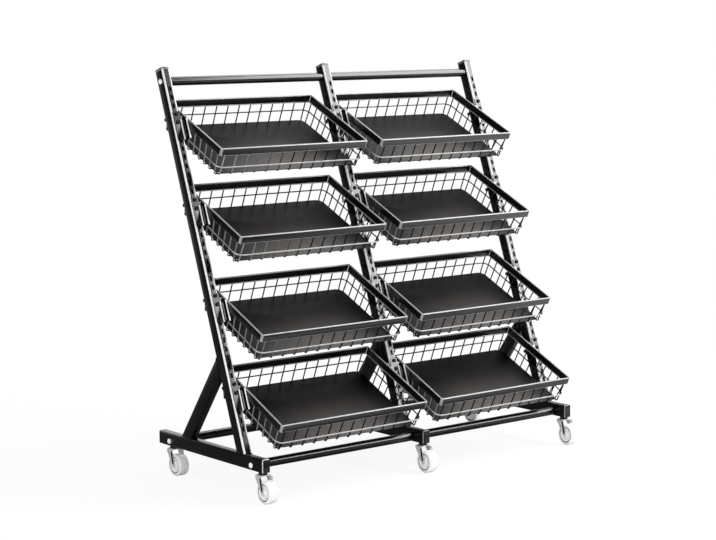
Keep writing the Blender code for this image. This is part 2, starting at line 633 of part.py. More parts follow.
def wall_inset(inset, layer, depth):
    """How far in a wall wire's middle stands at a depth below the rim's top."""
    return rim_line + (inset - rim_line) * (depth - RIM_HEIGHT) / (-RIM_HEIGHT - layer)


ring_slack = WIRE + 2 * GAP
ring_front = wall_inset(front_inset, upper_layer, RING_FRONT) - ring_slack
ring_rear = wall_inset(front_inset, upper_layer, RING_REAR) - ring_slack
ring_x = max(wall_inset(side_inset, lower_layer, RING_REAR) - ring_slack, half_wire)


def basket_outline(x_in, front_in, rear_in, corner):
    half = BASKET_WIDTH / 2 - x_in
    return chamfered(-half, half, -BASKET_DEPTH + front_in, -rear_in, corner)


CORNER_SHARE = 2 - math.sqrt(2)   # what a cut corner loses for each unit of wall
ring_corner = RIM_CORNER + WIRE
ring_points, ring_faces = band(
    basket_outline(ring_x - half_wire, ring_front - half_wire, ring_rear - half_wire, ring_corner),
    basket_outline(ring_x + half_wire, ring_front + half_wire, ring_rear + half_wire,
                   ring_corner - WIRE * CORNER_SHARE), -half_wire, half_wire)
ring_fall = (RING_FRONT - RING_REAR) / BASKET_DEPTH
ring = ([(x, y, z - RING_REAR + y * ring_fall) for x, y, z in ring_points], ring_faces)
weld = half_wire - BITE
front_y = ring_front - BASKET_DEPTH
rear_weld = box((-weld, -ring_rear - ring_slack, -RING_REAR - weld), (weld, -ring_rear, -RING_REAR + weld))
front_weld = box((-weld, front_y, -RING_FRONT - weld), (weld, front_y + ring_slack, -RING_FRONT + weld))

rim = band(basket_outline(0.0, 0.0, 0.0, RIM_CORNER),
           basket_outline(RIM_THICK, RIM_THICK, RIM_THICK, RIM_CORNER - RIM_THICK * CORNER_SHARE),
           -RIM_HEIGHT, 0.0)

# Hooks are drawn in the upright's frame at the bracket and carried into the basket's
tongue_in = channel_in + SLIP
tongue_out = channel_out - SLIP
arm_end = RIM_SIDE + RIM_THICK / 2
arm_top = hook_seat + HOOK_ARM
tongue_low = channel_low + HOOK_SHORT
hook_outline = [(tongue_in, arm_top), (arm_end, arm_top), (arm_end, hook_seat), (tongue_out, hook_seat),
                (tongue_out, tongue_low), (tongue_in, tongue_low)]
hooks = []
for sign in (1, -1):
    outline = [(sign * x, z) for x, z in hook_outline]
    hook = prism(outline, hook_back - HOOK_DEPTH, hook_back, "xzy")
    upright = leaning(BAY_X["left"] - sign * BAY_PITCH / 2, SLOT_MIDDLES[TIER_SLOTS[0]])
    hooks.append(moved(hook, basket_frame("left", 0).inverted() @ upright))

basket_mesh = shaped(rim, [("UNION", together(*wires)), ("UNION", together(*hooks)), ("UNION", ring),
                           ("UNION", together(rear_weld, front_weld))])

# Trays: flat sheets with round corners that lie on the wires
panel_x = TAPER_SIDE + WIRE + PANEL_MARGIN
panel_y = TAPER_FRONT + WIRE + PANEL_MARGIN
panel_low = upper_layer + half_wire + GAP
half = BASKET_WIDTH / 2 - panel_x
panel_outline = rounded(-half, half, -BASKET_DEPTH + panel_y, -panel_y, PANEL_CORNER, PANEL_STEPS)
panel_mesh = mesh_of(prism(panel_outline, panel_low, panel_low + PANEL_THICK), "panel")

for bay in BAY_X:
    for tier in range(TIERS):
        where = basket_frame(bay, tier)
        name = bay + "_" + str(tier + 1)
        basket = place("basket_" + name, basket_mesh, BLACK_COAT, where)
        place("tray_" + name, panel_mesh, BLACK_TRAY, where, basket)
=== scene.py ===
"""Looks of a slanted snack display rack: a powder coated tube frame on white casters, with two columns of
wire baskets that hook into bolted brackets. Metres, Z up, front toward -Y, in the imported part's frame."""
import json
import math

import bmesh
import bpy
import numpy as np
from mathutils import Matrix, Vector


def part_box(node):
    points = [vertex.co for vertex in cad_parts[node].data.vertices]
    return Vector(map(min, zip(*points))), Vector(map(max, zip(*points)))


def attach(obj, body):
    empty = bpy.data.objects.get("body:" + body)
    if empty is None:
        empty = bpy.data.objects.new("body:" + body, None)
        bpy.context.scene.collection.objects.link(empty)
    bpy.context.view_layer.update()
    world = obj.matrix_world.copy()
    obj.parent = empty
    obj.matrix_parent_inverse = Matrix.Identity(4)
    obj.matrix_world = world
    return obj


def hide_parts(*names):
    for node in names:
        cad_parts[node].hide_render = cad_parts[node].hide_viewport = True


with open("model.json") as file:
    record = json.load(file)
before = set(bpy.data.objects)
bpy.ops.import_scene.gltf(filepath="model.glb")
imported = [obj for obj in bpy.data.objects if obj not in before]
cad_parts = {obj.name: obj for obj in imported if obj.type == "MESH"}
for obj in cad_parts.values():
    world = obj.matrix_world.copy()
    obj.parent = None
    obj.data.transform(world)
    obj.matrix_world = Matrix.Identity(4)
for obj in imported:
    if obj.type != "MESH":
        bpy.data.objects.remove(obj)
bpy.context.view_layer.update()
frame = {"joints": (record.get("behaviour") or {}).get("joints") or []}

scene = bpy.context.scene
joints = {joint["name"]: joint for joint in frame["joints"]}

# Feet: three lengths of 25 x 38 mm rectangular steel tube laid front to back, each end closed by a welded
# plate that is ground flush. Like the rest of the frame they are powder coated black with a fine grain.
SIDES = ("left", "middle", "right")
TUBE_WIDTH = 0.0254
TUBE_DEPTH = 0.0381
TUBE_EDGE = 0.0042         # outside corner radius of the tube
FOOT_END_EDGE = 0.0016
COAT_BLACK = (0.0016, 0.0016, 0.0016)
COAT_DUSTY = (0.0042, 0.0042, 0.0043)
# Painted edge highlight: its pale colour, its strength on each foot, and where it lies
COAT_PAINTED_HIGHLIGHT = (0.80, 0.80, 0.79)
FOOT_HIGHLIGHT = {"left": 1.0, "middle": 0.35, "right": 0.35}
SECTION_HIGHLIGHT = 0.85             # painted highlight on the section's top and left
HIGHLIT_ROWS = 4              # rows of a foot's grid, from its front end, that take the painted highlight
EDGE_BEND = (200.0, 360.0)  # bend per metre from which a face counts as edge, and as all edge
HIGHLIGHT_FACING = (0.12, -0.05)    # Y of a face's normal from which it takes the painted highlight, and takes it fully
MERGE_REACH = 3e-6


class Tone:
    """A shader socket that takes part in sums: every operator adds one Math node to the tree."""

    def __init__(self, tree, socket=None):
        self.tree = tree
        self.socket = socket

    def node(self, kind, settings, sockets, out=0):
        """Adds a node: its settings first, then a value or a link for each named socket."""
        made = self.tree.nodes.new(kind)
        for name, value in settings.items():
            if name == "stops":
                made.color_ramp.elements[0].position = value[0]
                made.color_ramp.elements[1].position = value[1]
            else:
                setattr(made, name, value)
        for name, value in sockets.items():
            if isinstance(value, Tone):
                self.tree.links.new(value.socket, made.inputs[name])
            else:
                made.inputs[name].default_value = value
        return Tone(self.tree, made.outputs[out])

    def maths(self, operation, first, second):
        return self.node("ShaderNodeMath", {"operation": operation}, {0: first, 1: second})

    def __add__(self, other):
        return self.maths("ADD", self, other)

    def __sub__(self, other):
        return self.maths("SUBTRACT", self, other)

    def __rsub__(self, other):
        return self.maths("SUBTRACT", other, self)

    def __mul__(self, other):
        return self.maths("MULTIPLY", self, other)

    __radd__ = __add__
    __rmul__ = __mul__

    def larger(self, other):
        return self.maths("MAXIMUM", self, other)

    def attribute(self, name):
        """A value that the mesh holds for each of its faces or points."""
        return self.node("ShaderNodeAttribute", {"attribute_name": name}, {}, "Fac")

    def toward(self, way):
        """How far this vector goes in a direction."""
        return self.node("ShaderNodeVectorMath", {"operation": "DOT_PRODUCT"}, {0: self, 1: way}, "Value")

    def bump(self, strength, depth):
        """A normal bent by this height."""
        return self.node("ShaderNodeBump", {}, {"Strength": strength, "Distance": depth, "Height": self})

    def stretched(self, x, y, z):
        """This vector with each direction multiplied, so that a pattern runs along the smallest."""
        return self.node("ShaderNodeVectorMath", {"operation": "MULTIPLY"}, {0: self, 1: (x, y, z)})

    def noise(self, scale, detail=2.0):
        """Noise over this vector, from 0 to 1 around the middle, with scale features to the metre."""
        return self.node("ShaderNodeTexNoise", {}, {"Vector": self, "Scale": scale, "Detail": detail})

    def between(self, low, high):
        """0 below the low value, 1 above the high one and straight between."""
        return self.node("ShaderNodeValToRGB", {"stops": (low, high)}, {"Fac": self})

    def mixed(self, first, second):
        """The first colour where this value is 0 and the second where it is 1."""
        ends = [end if isinstance(end, Tone) else (*end, 1.0) for end in (first, second)]
        return self.node("ShaderNodeMix", {"data_type": "RGBA"}, {0: self, 6: ends[0], 7: ends[1]}, 2)


def new_finish(name, **constants):
    """A material with one Principled shader; gives back the material, its Object coordinates and a function
    that links worked-out values to the shader's sockets."""
    made = bpy.data.materials.new(name)
    made.use_nodes = True
    tree = made.node_tree
    shader = tree.nodes["Principled BSDF"]
    for socket, value in constants.items():
        shader.inputs[socket.replace("_", " ")].default_value = value
    spot = Tone(tree).node("ShaderNodeTexCoord", {}, {}, "Object")

    def feed(**values):
        for socket, value in values.items():
            tree.links.new(value.socket, shader.inputs[socket.replace("_", " ")])

    return made, spot, feed


def powder_coat(name, dark, dusty, roughness, grain, ior=1.6):
    """Baked powder: a fine grain of bumps, a slow drift in gloss, pale dust in broad soft patches, and a
    painted highlight that turns edges pale."""
    made, spot, feed = new_finish(name, IOR=ior)
    fine = spot.noise(1400.0)
    peel = spot.noise(260.0, 3.0)
    drift = spot.noise(7.0, 4.0)
    dust = (0.55 * drift + 0.45 * peel).between(0.42, 0.68)
    # painted highlight: edges painted pale, in soft patches
    painted_highlight = spot.attribute("edge_wear") * (0.76 + 0.48 * peel.between(0.30, 0.62) * drift)
    feed(Base_Color=painted_highlight.mixed(dust.mixed(dark, dusty), COAT_PAINTED_HIGHLIGHT),
         Roughness=roughness + 0.10 * (drift - 0.5) + 0.06 * (fine - 0.5) + 0.12 * painted_highlight,
         Normal=(0.5 * fine + 0.5 * peel).bump(grain, 0.0002))
    return made


def unit(vectors):
    return vectors / np.linalg.norm(vectors, axis=-1, keepdims=True)


def quads(rows, cols, ring):
    """Corner numbers of a grid's quads: each point, its next in the row, and the same two a row on."""
    across = np.arange(cols if ring else cols - 1)
    down = np.arange(rows - 1)[:, None]
    after = (across + 1) % cols
    return np.stack([down * cols + across, down * cols + after, (down + 1) * cols + after,
                     (down + 1) * cols + across], -1).reshape(-1, 4)


def read(items, field, kind, width):
    """One field of a mesh's parts as an array with a row for each part."""
    values = np.empty(len(items) * width, kind)
    items.foreach_get(field, values)
    return values.reshape(-1, width)


def mark_edges(mesh):
    """Multiplies each face's painted highlight by how far it counts as an edge: the sum over its sides of the
    outward angle times the side's length, over the face's area; and by how far it faces the front."""
    normal, centre = (read(mesh.polygons, field, float, 3) for field in ("normal", "center"))
    area = read(mesh.polygons, "area", float, 1)[:, 0]
    owner = np.repeat(np.arange(len(area)), read(mesh.polygons, "loop_total", np.int32, 1)[:, 0])
    side = read(mesh.loops, "edge_index", np.int32, 1)[:, 0]
    order = np.argsort(side, kind="stable")
    pair = np.flatnonzero(side[order][1:] == side[order][:-1])
    here, there, edge = owner[order[pair]], owner[order[pair + 1]], side[order[pair]]
    ends = read(mesh.vertices, "co", float, 3)[read(mesh.edges, "vertices", np.int32, 2)]
    length = np.linalg.norm(ends[:, 1] - ends[:, 0], axis=1)[edge]
    angle = np.arccos(np.clip((normal[here] * normal[there]).sum(1), -1.0, 1.0))
    angle *= ((centre[there] - centre[here]) * normal[here]).sum(1) < 0
    bend = np.bincount(here, angle * length, len(area)) + np.bincount(there, angle * length, len(area))
    mark = mesh.attributes["edge_wear"].data
    bend /= np.maximum(area, 1e-12)
    share = np.clip((bend - EDGE_BEND[0]) / (EDGE_BEND[1] - EDGE_BEND[0]), 0.0, 1.0)
    front = np.clip((HIGHLIGHT_FACING[0] - normal[:, 1]) / (HIGHLIGHT_FACING[0] - HIGHLIGHT_FACING[1]), 0.0, 1.0)
    mark.foreach_set("value", read(mark, "value", float, 1)[:, 0] * share * front)


def put(name, data):
    """A new object in the scene."""
    made = bpy.data.objects.new(name, data)
    scene.collection.objects.link(made)
    return made


def skin(name, sheets, finish, body="frame", rings=True, lids=(), sharp=38.0, highlights=()):
    """A piece made of grids of points, closed round their rows where rings is set, and of flat lids. Points
    that meet are merged and all faces turned outward. The last argument gives the first sheets' edges a
    painted highlight and says how strong it is."""
    points, faces, painted_shine, start = [], [], [], 0
    for order, sheet in enumerate(sheets):
        rows, cols = sheet.shape[:2]
        points.append(sheet.reshape(-1, 3))
        grid = quads(rows, cols, rings) + start
        faces.extend(grid.tolist())
        painted_shine.append(np.broadcast_to(highlights[order] if order < len(highlights) else 0.0, len(grid)))
        start += rows * cols
    for lid in lids:
        points.append(lid)
        faces.append(list(range(start, start + len(lid))))
        start += len(lid)
    mesh = bpy.data.meshes.new(name)
    mesh.from_pydata(np.concatenate(points), [], faces)
    mark = mesh.attributes.new("edge_wear", "FLOAT", "FACE")
    mark.data.foreach_set("value", np.concatenate(painted_shine + [np.zeros(len(lids))]))
    work = bmesh.new()
    work.from_mesh(mesh)
    bmesh.ops.remove_doubles(work, verts=work.verts, dist=MERGE_REACH)
    bmesh.ops.recalc_face_normals(work, faces=work.faces)
    work.to_mesh(mesh)
    work.free()
    mark_edges(mesh)
    mesh.shade_smooth()
    mesh.set_sharp_from_angle(angle=math.radians(sharp))
    mesh.materials.append(finish)
    made = put(name, mesh)
    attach(made, body)
    return made


def tube_section(width, depth, corner, steps=4):
    """A rectangle with round corners: each corner's centre plus a quarter circle."""
    turn = np.linspace(0.0, np.pi / 2, steps + 1)
    angle = (np.arange(4)[:, None] * np.pi / 2 + turn).ravel()
    half = np.array([width, depth]) / 2 - corner
    signs = np.repeat([[1, 1], [-1, 1], [-1, -1], [1, -1]], steps + 1, axis=0)
    return signs * half + corner * np.stack([np.cos(angle), np.sin(angle)], -1)


def raised(ring, *levels):
    """A flat ring of points at each of the levels, which are one height or a height for every point."""
    return np.array([np.column_stack([ring, np.broadcast_to(level, len(ring))]) for level in levels])


def soft_bar(width, depth, length, corner, edge, steps=4):
    """A bar along Z: toward each end its section draws in by edge (1 - sin t) while it advances
    edge (1 - cos t), and the end closes on its middle."""
    turn = np.linspace(0.0, np.pi / 2, 4)
    rows = [(edge * (1 - np.sin(t)), edge * (1 - np.cos(t)), 1.0) for t in turn]
    rows = [(edge, 0.0, 0.0)] + rows
    rows += [(inset, length - level, size) for inset, level, size in rows[::-1]]
    return np.concatenate([raised(size * tube_section(width - 2 * inset, depth - 2 * inset,
                                                      corner - 0.8 * inset, steps), level)
                           for inset, level, size in rows])


black_coat = powder_coat("black_powder_coat", COAT_BLACK, COAT_DUSTY, 0.22, 0.12)
column_x = {}
for side in SIDES:
    low, high = np.array(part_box("foot_" + side))
    column_x[side] = (low[0] + high[0]) / 2
    tube = soft_bar(TUBE_WIDTH, TUBE_DEPTH, high[1] - low[1], TUBE_EDGE, FOOT_END_EDGE)[..., [0, 2, 1]]
    # A painted highlight along the front end's top and left edges, strongest on the left foot.
    painted_shine = np.zeros((len(tube) - 1, tube.shape[1]))
    painted_shine[:HIGHLIT_ROWS, 4:12] = FOOT_HIGHLIGHT[side] * SECTION_HIGHLIGHT
    foot = skin("foot_tube_" + side, [tube + (column_x[side], low[1], (low[2] + high[2]) / 2)],
                black_coat, highlights=(painted_shine.ravel(),))
    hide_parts("foot_" + side)
foot_low, foot_high = np.array(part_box("foot_left"))
foot_middle = (foot_low[1] + foot_high[1]) / 2

# Uprights: the same tube, mitred and welded to lean back from the foot. Forty slots are punched down the
# front face to take the bracket bolts at any height.
LEAN_SIN, LEAN_COS = joints["lift_left_1"]["axis"][1:]
UPRIGHT_LENGTH = 1.1035
TUBE_WALL = 0.0018
JOINT_GAP = 0.0003
CAP_THICK = 0.0065
CAP_SEAM = 0.0010          # the tube ends this far under its cap
SLOT_FIRST = 0.0652        # top of the upright to the first slot's middle
SLOT_PITCH = 0.0250
SLOT_COUNT = 40
SLOT_LENGTH = 0.0150
SLOT_WIDTH = 0.0070
SLOT_SHIFT = 0.0010
SLOT_BURR = 0.0004         # punched edge, rounded over
TILE_ACROSS = 6
TILE_ALONG = 8
BEAD_RADIUS = 0.0017
stand_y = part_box("upright_left")[0][1] + TUBE_DEPTH / 2 / LEAN_COS - JOINT_GAP * LEAN_SIN / LEAN_COS
slot_middles = UPRIGHT_LENGTH - SLOT_FIRST - SLOT_PITCH * np.arange(SLOT_COUNT)


def tilted(points, spot, sin, cos):
    """Points turned about X, to y cos - z sin and y sin + z cos, and moved to a spot."""
    x, y, z = np.moveaxis(points, -1, 0)
    return np.stack([x + spot[0], spot[1] + y * cos - z * sin, spot[2] + y * sin + z * cos], -1)


def leaning(points, side, along=0.0):
    """Points given across, behind and up an upright, turned back by the lean and set on its foot."""
    return tilted(points + np.array([0.0, 0.0, along]), (column_x[side], stand_y, foot_high[2]), -LEAN_SIN,
                  LEAN_COS)


def carried(section, path, normal=(0.0, 0.0, 1.0), closed=False, swell=1.0):
    """A section carried along paths: its first direction follows the normal and its second the cross of the
    path's direction with it, stretched at bends; open ends close on the path."""
    ahead = unit(np.roll(path, -1, -2) - path)
    behind = unit(path - np.roll(path, 1, -2))
    if not closed:
        ahead[..., -1, :] = behind[..., -1, :]
        behind[..., 0, :] = ahead[..., 0, :]
    way = unit(ahead + behind)
    side = unit(np.cross(way, normal))
    rise = np.cross(side, way)
    stretch = 1 / np.maximum((way * ahead).sum(-1), 0.5)[..., None, None]
    u, v = section[:, 0, None], section[:, 1, None]
    grid = path[..., None, :] + swell * (u * rise[..., None, :] + stretch * v * side[..., None, :])
    ends = np.broadcast_to(path[..., None, :], grid.shape)
    if closed:
        return np.concatenate([grid, grid[..., :1, :, :]], -3)
    return np.concatenate([ends[..., :1, :, :], grid, ends[..., -1:, :, :]], -3)


def circle(radius, sides):
    turn = 2 * np.pi * np.arange(sides) / sides
    return radius * np.stack([np.cos(turn), np.sin(turn)], -1)


def weld_bead(ring, normal=(0.0, 0.0, 1.0)):
    """A bead along a closed joint: a circle whose size ripples with each drop of weld."""
    share = np.linspace(0.0, len(ring), 120, endpoint=False)
    path = np.stack([np.interp(share, np.arange(len(ring) + 1), np.append(ring[:, i], ring[0, i]))
                     for i in range(3)], -1)
    ripple = 1 + 0.14 * np.sin(np.arange(len(path)) * 1.9) + 0.08 * np.sin(np.arange(len(path)) * 0.7)
    return carried(circle(BEAD_RADIUS, 6), path, normal, True, ripple[:, None, None])


def tube_ring(inset):
    """The tube's section from the front face's left end: that face in equal steps, then round the back."""
    section = tube_section(TUBE_WIDTH - 2 * inset, TUBE_DEPTH - 2 * inset, TUBE_EDGE - 0.8 * inset)
    corners = np.roll(section, -3 * len(section) // 4, axis=0)
    share = np.linspace(0.0, 1.0, TILE_ACROSS + 1)[:-1, None]
    face = corners[-1] + (corners[0] - corners[-1]) * share
    return np.concatenate([face, corners])


def slotted_tube(top, foot_of):
    """A tube with punched slots. Round each slot the face is a ring of quads from the slot's edge, the point
    of the slot's middle line nearest to the tile's border plus the slot's half width, out to that border."""
    outer, inner = tube_ring(0.0), tube_ring(TUBE_WALL)
    across = np.arange(TILE_ACROSS + 1)
    along = np.linspace(-0.5, 0.5, TILE_ALONG + 1) * SLOT_PITCH
    border_u = np.concatenate([across[:-1], np.full(TILE_ALONG, TILE_ACROSS), across[:0:-1],
                               np.zeros(TILE_ALONG, int)])
    border_z = np.concatenate([np.full(TILE_ACROSS, along[0]), along[:-1], np.full(TILE_ACROSS, along[-1]),
                               along[:0:-1]])
    reach = (SLOT_LENGTH - SLOT_WIDTH) / 2
    axis = np.stack([np.full(len(border_z), SLOT_SHIFT), np.clip(border_z, -reach, reach)], -1)
    outside, inside = (np.stack([ring[border_u, 0], border_z], -1) for ring in (outer, inner))
    away = unit(outside - axis)
    edge = axis + away * SLOT_WIDTH / 2
    lip = axis + away * (SLOT_WIDTH / 2 + SLOT_BURR)
    front, back = outer[0, 1], inner[0, 1]
    rows = [(outside, front), (lip, front), (edge, front + SLOT_BURR), (edge, back), (inside, back)]
    tile = np.array([np.insert(flat, 1, y, axis=1) for flat, y in rows])
    tile = np.concatenate([tile, tile[:, :1]], 1)
    tiles = [tile + (0.0, 0.0, middle) for middle in slot_middles]
    levels = np.append(np.add.outer(slot_middles[::-1], along[:-1]), slot_middles[0] + along[-1])
    strips = []
    for ring in (outer, inner):
        column = np.append(np.arange(TILE_ACROSS, len(ring)), 0)
        whole = ring[np.append(np.arange(TILE_ACROSS + 1), column[1:])]
        strips += [raised(ring[column], *levels), raised(whole, foot_of(whole[:, 1]), levels[0]),
                   raised(whole, levels[-1], top)]
    outer, inner = (np.append(ring, ring[:1], 0) for ring in (outer, inner))
    for level in (foot_of, lambda y: top):
        strips.append(np.concatenate([raised(ring, level(ring[:, 1])) for ring in (outer, inner)]))
    return tiles + strips


upright_sheets = slotted_tube(UPRIGHT_LENGTH - CAP_THICK - CAP_SEAM,
                              lambda y: (JOINT_GAP + y * LEAN_SIN) / LEAN_COS)
# The tube's strips, not its slotted tiles, take the painted edge highlight.
upright_highlight = np.arange(len(upright_sheets)) >= SLOT_COUNT
tube_outline = tube_section(TUBE_WIDTH, TUBE_DEPTH, TUBE_EDGE)
base_ring = np.column_stack([tube_outline, tube_outline[:, 1] * LEAN_SIN / LEAN_COS])
for side in SIDES:
    upright = skin("upright_tube_" + side, [leaning(sheet, side) for sheet in upright_sheets],
                   black_coat, rings=False, highlights=upright_highlight)
    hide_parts("upright_" + side)
    skin("upright_weld_" + side, [weld_bead(leaning(base_ring, side))], black_coat)

# Caps: moulded black plastic lids that close the uprights' tops. Each has a plug below it that grips inside
# the tube.
CAP_EDGE = 0.0018
CAP_PLUG = 0.0100
# strength of the painted highlight on the lid's edges
CAP_HIGHLIGHT = 0.4
PLASTIC_BLACK = (0.0100, 0.0100, 0.0105)
PLASTIC_WORN = (0.0200, 0.0200, 0.0200)

cap_plastic = powder_coat("cap_plastic_black", PLASTIC_BLACK, PLASTIC_WORN, 0.26, 0.06)
lid = soft_bar(TUBE_WIDTH, TUBE_DEPTH, CAP_THICK, TUBE_EDGE, CAP_EDGE)
plug = soft_bar(TUBE_WIDTH - 2.4 * TUBE_WALL, TUBE_DEPTH - 2.4 * TUBE_WALL, CAP_PLUG + CAP_EDGE,
                TUBE_EDGE - TUBE_WALL, CAP_EDGE / 2)
for side in SIDES:
    cap = skin("cap_" + side, [leaning(lid, side, UPRIGHT_LENGTH - CAP_THICK),
                               leaning(plug, side, UPRIGHT_LENGTH - CAP_THICK - CAP_PLUG)],
               cap_plastic, "frame", highlights=(CAP_HIGHLIGHT,))
    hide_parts("upright_cap_" + side)

# Braces: shorter lengths of the same tube from the rear of each foot up to the back of the upright, mitred
# and welded at both ends.
BRACE_STAND = 0.1163       # where its middle line meets the foot, behind the foot's middle
BRACE_REACH = 0.2506       # how far up the upright it lands
upright_stand = stand_y - foot_middle
brace_top = np.array([upright_stand + BRACE_REACH * LEAN_SIN + TUBE_DEPTH / 2 * LEAN_COS,
                      BRACE_REACH * LEAN_COS - TUBE_DEPTH / 2 * LEAN_SIN])
brace_lean = math.atan2(BRACE_STAND - brace_top[0], brace_top[1])
BRACE_SIN, BRACE_COS = math.sin(brace_lean), math.cos(brace_lean)
meeting = brace_lean + math.atan2(LEAN_SIN, LEAN_COS)


def brace_place(points, side):
    """Points given across, behind and up a brace, turned forward by its lean and set on the foot."""
    return tilted(points, (column_x[side], foot_middle + BRACE_STAND, foot_high[2]), BRACE_SIN, BRACE_COS)


def capped(sheet):
    """A sheet that is closed at both ends, where its rows draw together on their middles."""
    ends = [np.broadcast_to(row.mean(0), row.shape) for row in (sheet[0], sheet[-1])]
    return np.concatenate([ends[:1], sheet, ends[1:]])


brace_y = tube_outline[:, 1]
brace_base = np.column_stack([tube_outline, (JOINT_GAP - brace_y * BRACE_SIN) / BRACE_COS])
to_back = (BRACE_STAND - upright_stand) * LEAN_COS - TUBE_DEPTH / 2 - JOINT_GAP
brace_head = np.column_stack([tube_outline, (to_back + brace_y * math.cos(meeting)) / math.sin(meeting)])
brace_tube = capped([brace_base, brace_head])
for side in SIDES:
    brace = skin("brace_tube_" + side, [brace_place(brace_tube, side)], black_coat)
    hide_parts("brace_" + side)
    skin("brace_weld_" + side, [weld_bead(brace_place(brace_base, side)),
                                weld_bead(brace_place(brace_head, side), (0.0, LEAN_COS, -LEAN_SIN))],
         black_coat)

# Cross rails: 25 mm round tube, one length per bay at the top and two near the floor. A rail's inner end
# slips over a peg on the middle column, and a bolt with a white nylon button head holds its outer end.
BAYS = ("left", "right")
RAIL_RADIUS = 0.0127
RAIL_EDGE = 0.0008
RAIL_SIDES = 40
BOLT_RADIUS = 0.0070
BOLT_HEAD = 0.0042
BOLT_SIDE = 0.0012         # straight side of the head under its dome
BOLT_SIDES = 24
WASHER_RADIUS = 0.0074
WASHER_THICK = 0.0011
SOCKET_RADIUS = 0.0020
SOCKET_DEPTH = 0.0008
NYLON_WHITE = (0.84, 0.84, 0.835)
NYLON_GREY = (0.76, 0.76, 0.755)


def turned(profile, sides, spot, axis=0):
    """A piece turned about an axis: each pair of a place along it and a radius becomes a circle."""
    along, radius = np.array(profile).T[:, :, None]
    ring = circle(1.0, sides)
    wheel = [np.broadcast_to(along, (len(along), sides)), radius * ring[:, 0], radius * ring[:, 1]]
    return np.stack(wheel[-axis:] + wheel[:-axis] if axis else wheel, -1) + spot


def moulded_plastic(name, clean, scuffed, roughness):
    """Moulded plastic: an even colour that greys in soft patches where it is scuffed, and a faint ripple."""
    made, spot, feed = new_finish(name, IOR=1.5)
    scuff = (0.6 * spot.noise(60.0, 4.0) + 0.4 * spot.noise(420.0)).between(0.46, 0.70)
    feed(Base_Color=scuff.mixed(clean, scuffed), Roughness=roughness + 0.22 * scuff,
         Normal=spot.noise(300.0).bump(0.06, 0.0003))
    return made


nylon = moulded_plastic("bolt_nylon_white", NYLON_WHITE, NYLON_GREY, 0.40)
rail_bolts = {bay: [] for bay in BAYS}
for rail in ("top_rail", "front_rail", "rear_rail"):
    for bay, sign in zip(BAYS, (-1, 1)):
        low, high = np.array(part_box(rail + "_" + bay))
        spot = np.array([0.0, (low[1] + high[1]) / 2, (low[2] + high[2]) / 2])
        inner = sign * (TUBE_WIDTH / 2 + JOINT_GAP)
        outer = column_x[bay] - inner
        ends = [(inner, 0.0), (inner, RAIL_RADIUS - RAIL_EDGE), (inner + sign * RAIL_EDGE, RAIL_RADIUS)]
        ends += [(outer - sign * RAIL_EDGE, RAIL_RADIUS), (outer, RAIL_RADIUS - RAIL_EDGE), (outer, 0.0)]
        tube = skin(rail + "_tube_" + bay, [turned(ends, RAIL_SIDES, spot)], black_coat)
        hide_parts(rail + "_" + bay)
        face = column_x[bay] + inner
        dome = np.linspace(0.0, np.pi / 2, 6)[:-1]
        profile = [(0.0, 0.0), (0.0, WASHER_RADIUS), (WASHER_THICK, WASHER_RADIUS),
                   (WASHER_THICK, BOLT_RADIUS)]
        profile += [(WASHER_THICK + BOLT_SIDE + (BOLT_HEAD - BOLT_SIDE - WASHER_THICK) * np.sin(t),
                     SOCKET_RADIUS + (BOLT_RADIUS - SOCKET_RADIUS) * np.cos(t)) for t in dome]
        profile += [(BOLT_HEAD, SOCKET_RADIUS), (BOLT_HEAD - SOCKET_DEPTH, SOCKET_RADIUS * 0.9),
                    (BOLT_HEAD - SOCKET_DEPTH, 0.0)]
        profile = [(face + sign * along, radius) for along, radius in profile]
        rail_bolts[bay].append(turned(profile, BOLT_SIDES, spot))
for bay in BAYS:
    skin("rail_bolts_" + bay, rail_bolts[bay], nylon, "frame")

# Casters: a fork pressed from zinc plated sheet with rolled shoulders, a black swivel cup under the foot,
# a rivet for an axle, a black strip down each leg as painted shade in the gap by the wheel, and a moulded
# white wheel with a dark grey ring in each face's groove as the groove's painted shade.
CASTERS = ("left_front", "left_rear", "middle_front", "right_front", "right_rear")
FORK_TOP = 0.0765
FORK_SHEET = 0.0022
FORK_HALF = 0.0180         # swivel line to the middle of a leg's sheet
FORK_BEND = 0.0055
FORK_LENGTH = 0.0300
FORK_TOE = 0.0065
FORK_RIB = 0.0012          # height of the rib pressed down the rear half of each leg
FORK_RIB_SHARE = 0.30      # its half width as a share of the leg's
# A black strip down each leg, painted shade of the gap between leg and wheel:
SHADE_STRIP_WIDTH = 0.0076
SHADE_STRIP_THICK = 0.0014
SHADE_STRIP_LEAN = 0.45          # share of the trail that its middle loses on the way from the axle to the top
SHADE_STRIP_EDGE = 0.0005
SHADE_STRIP_SPAN = (0.02, 0.86)  # where it starts and ends on that way
RIVET_RADIUS = 0.0044
RIVET_HEAD = 0.0014
RIVET_SIDES = 20
CUP_RADIUS = 0.0125
CUP_NECK = 0.0098
CUP_FLANGE = 0.0024        # height of the wide part on the fork
CUP_SIDES = 32
WHEEL_RADIUS = 0.0315
WHEEL_HALF = 0.0160
WHEEL_SIDES = 64
WHEEL_DISH = 0.0016        # how deep the face lies round the hub
TREAD_ROUND = 0.0054
GROOVE_IN = 0.0212
GROOVE_OUT = 0.0242
GROOVE_DEPTH = 0.0022
# Colours of the ring laid in each groove as painted shade
GROOVE_SHADE_GREY = (0.060, 0.060, 0.061)
GROOVE_SHADE_PALE = (0.12, 0.12, 0.12)
HUB_HALF = 0.0164
HUB_RADIUS = 0.0088
AXLE_BORE = 0.0043
ZINC_BRIGHT = (0.86, 0.865, 0.87)
ZINC_DULL = (0.66, 0.665, 0.67)
WHEEL_WHITE = (0.78, 0.78, 0.775)
WHEEL_GREY = (0.68, 0.68, 0.675)


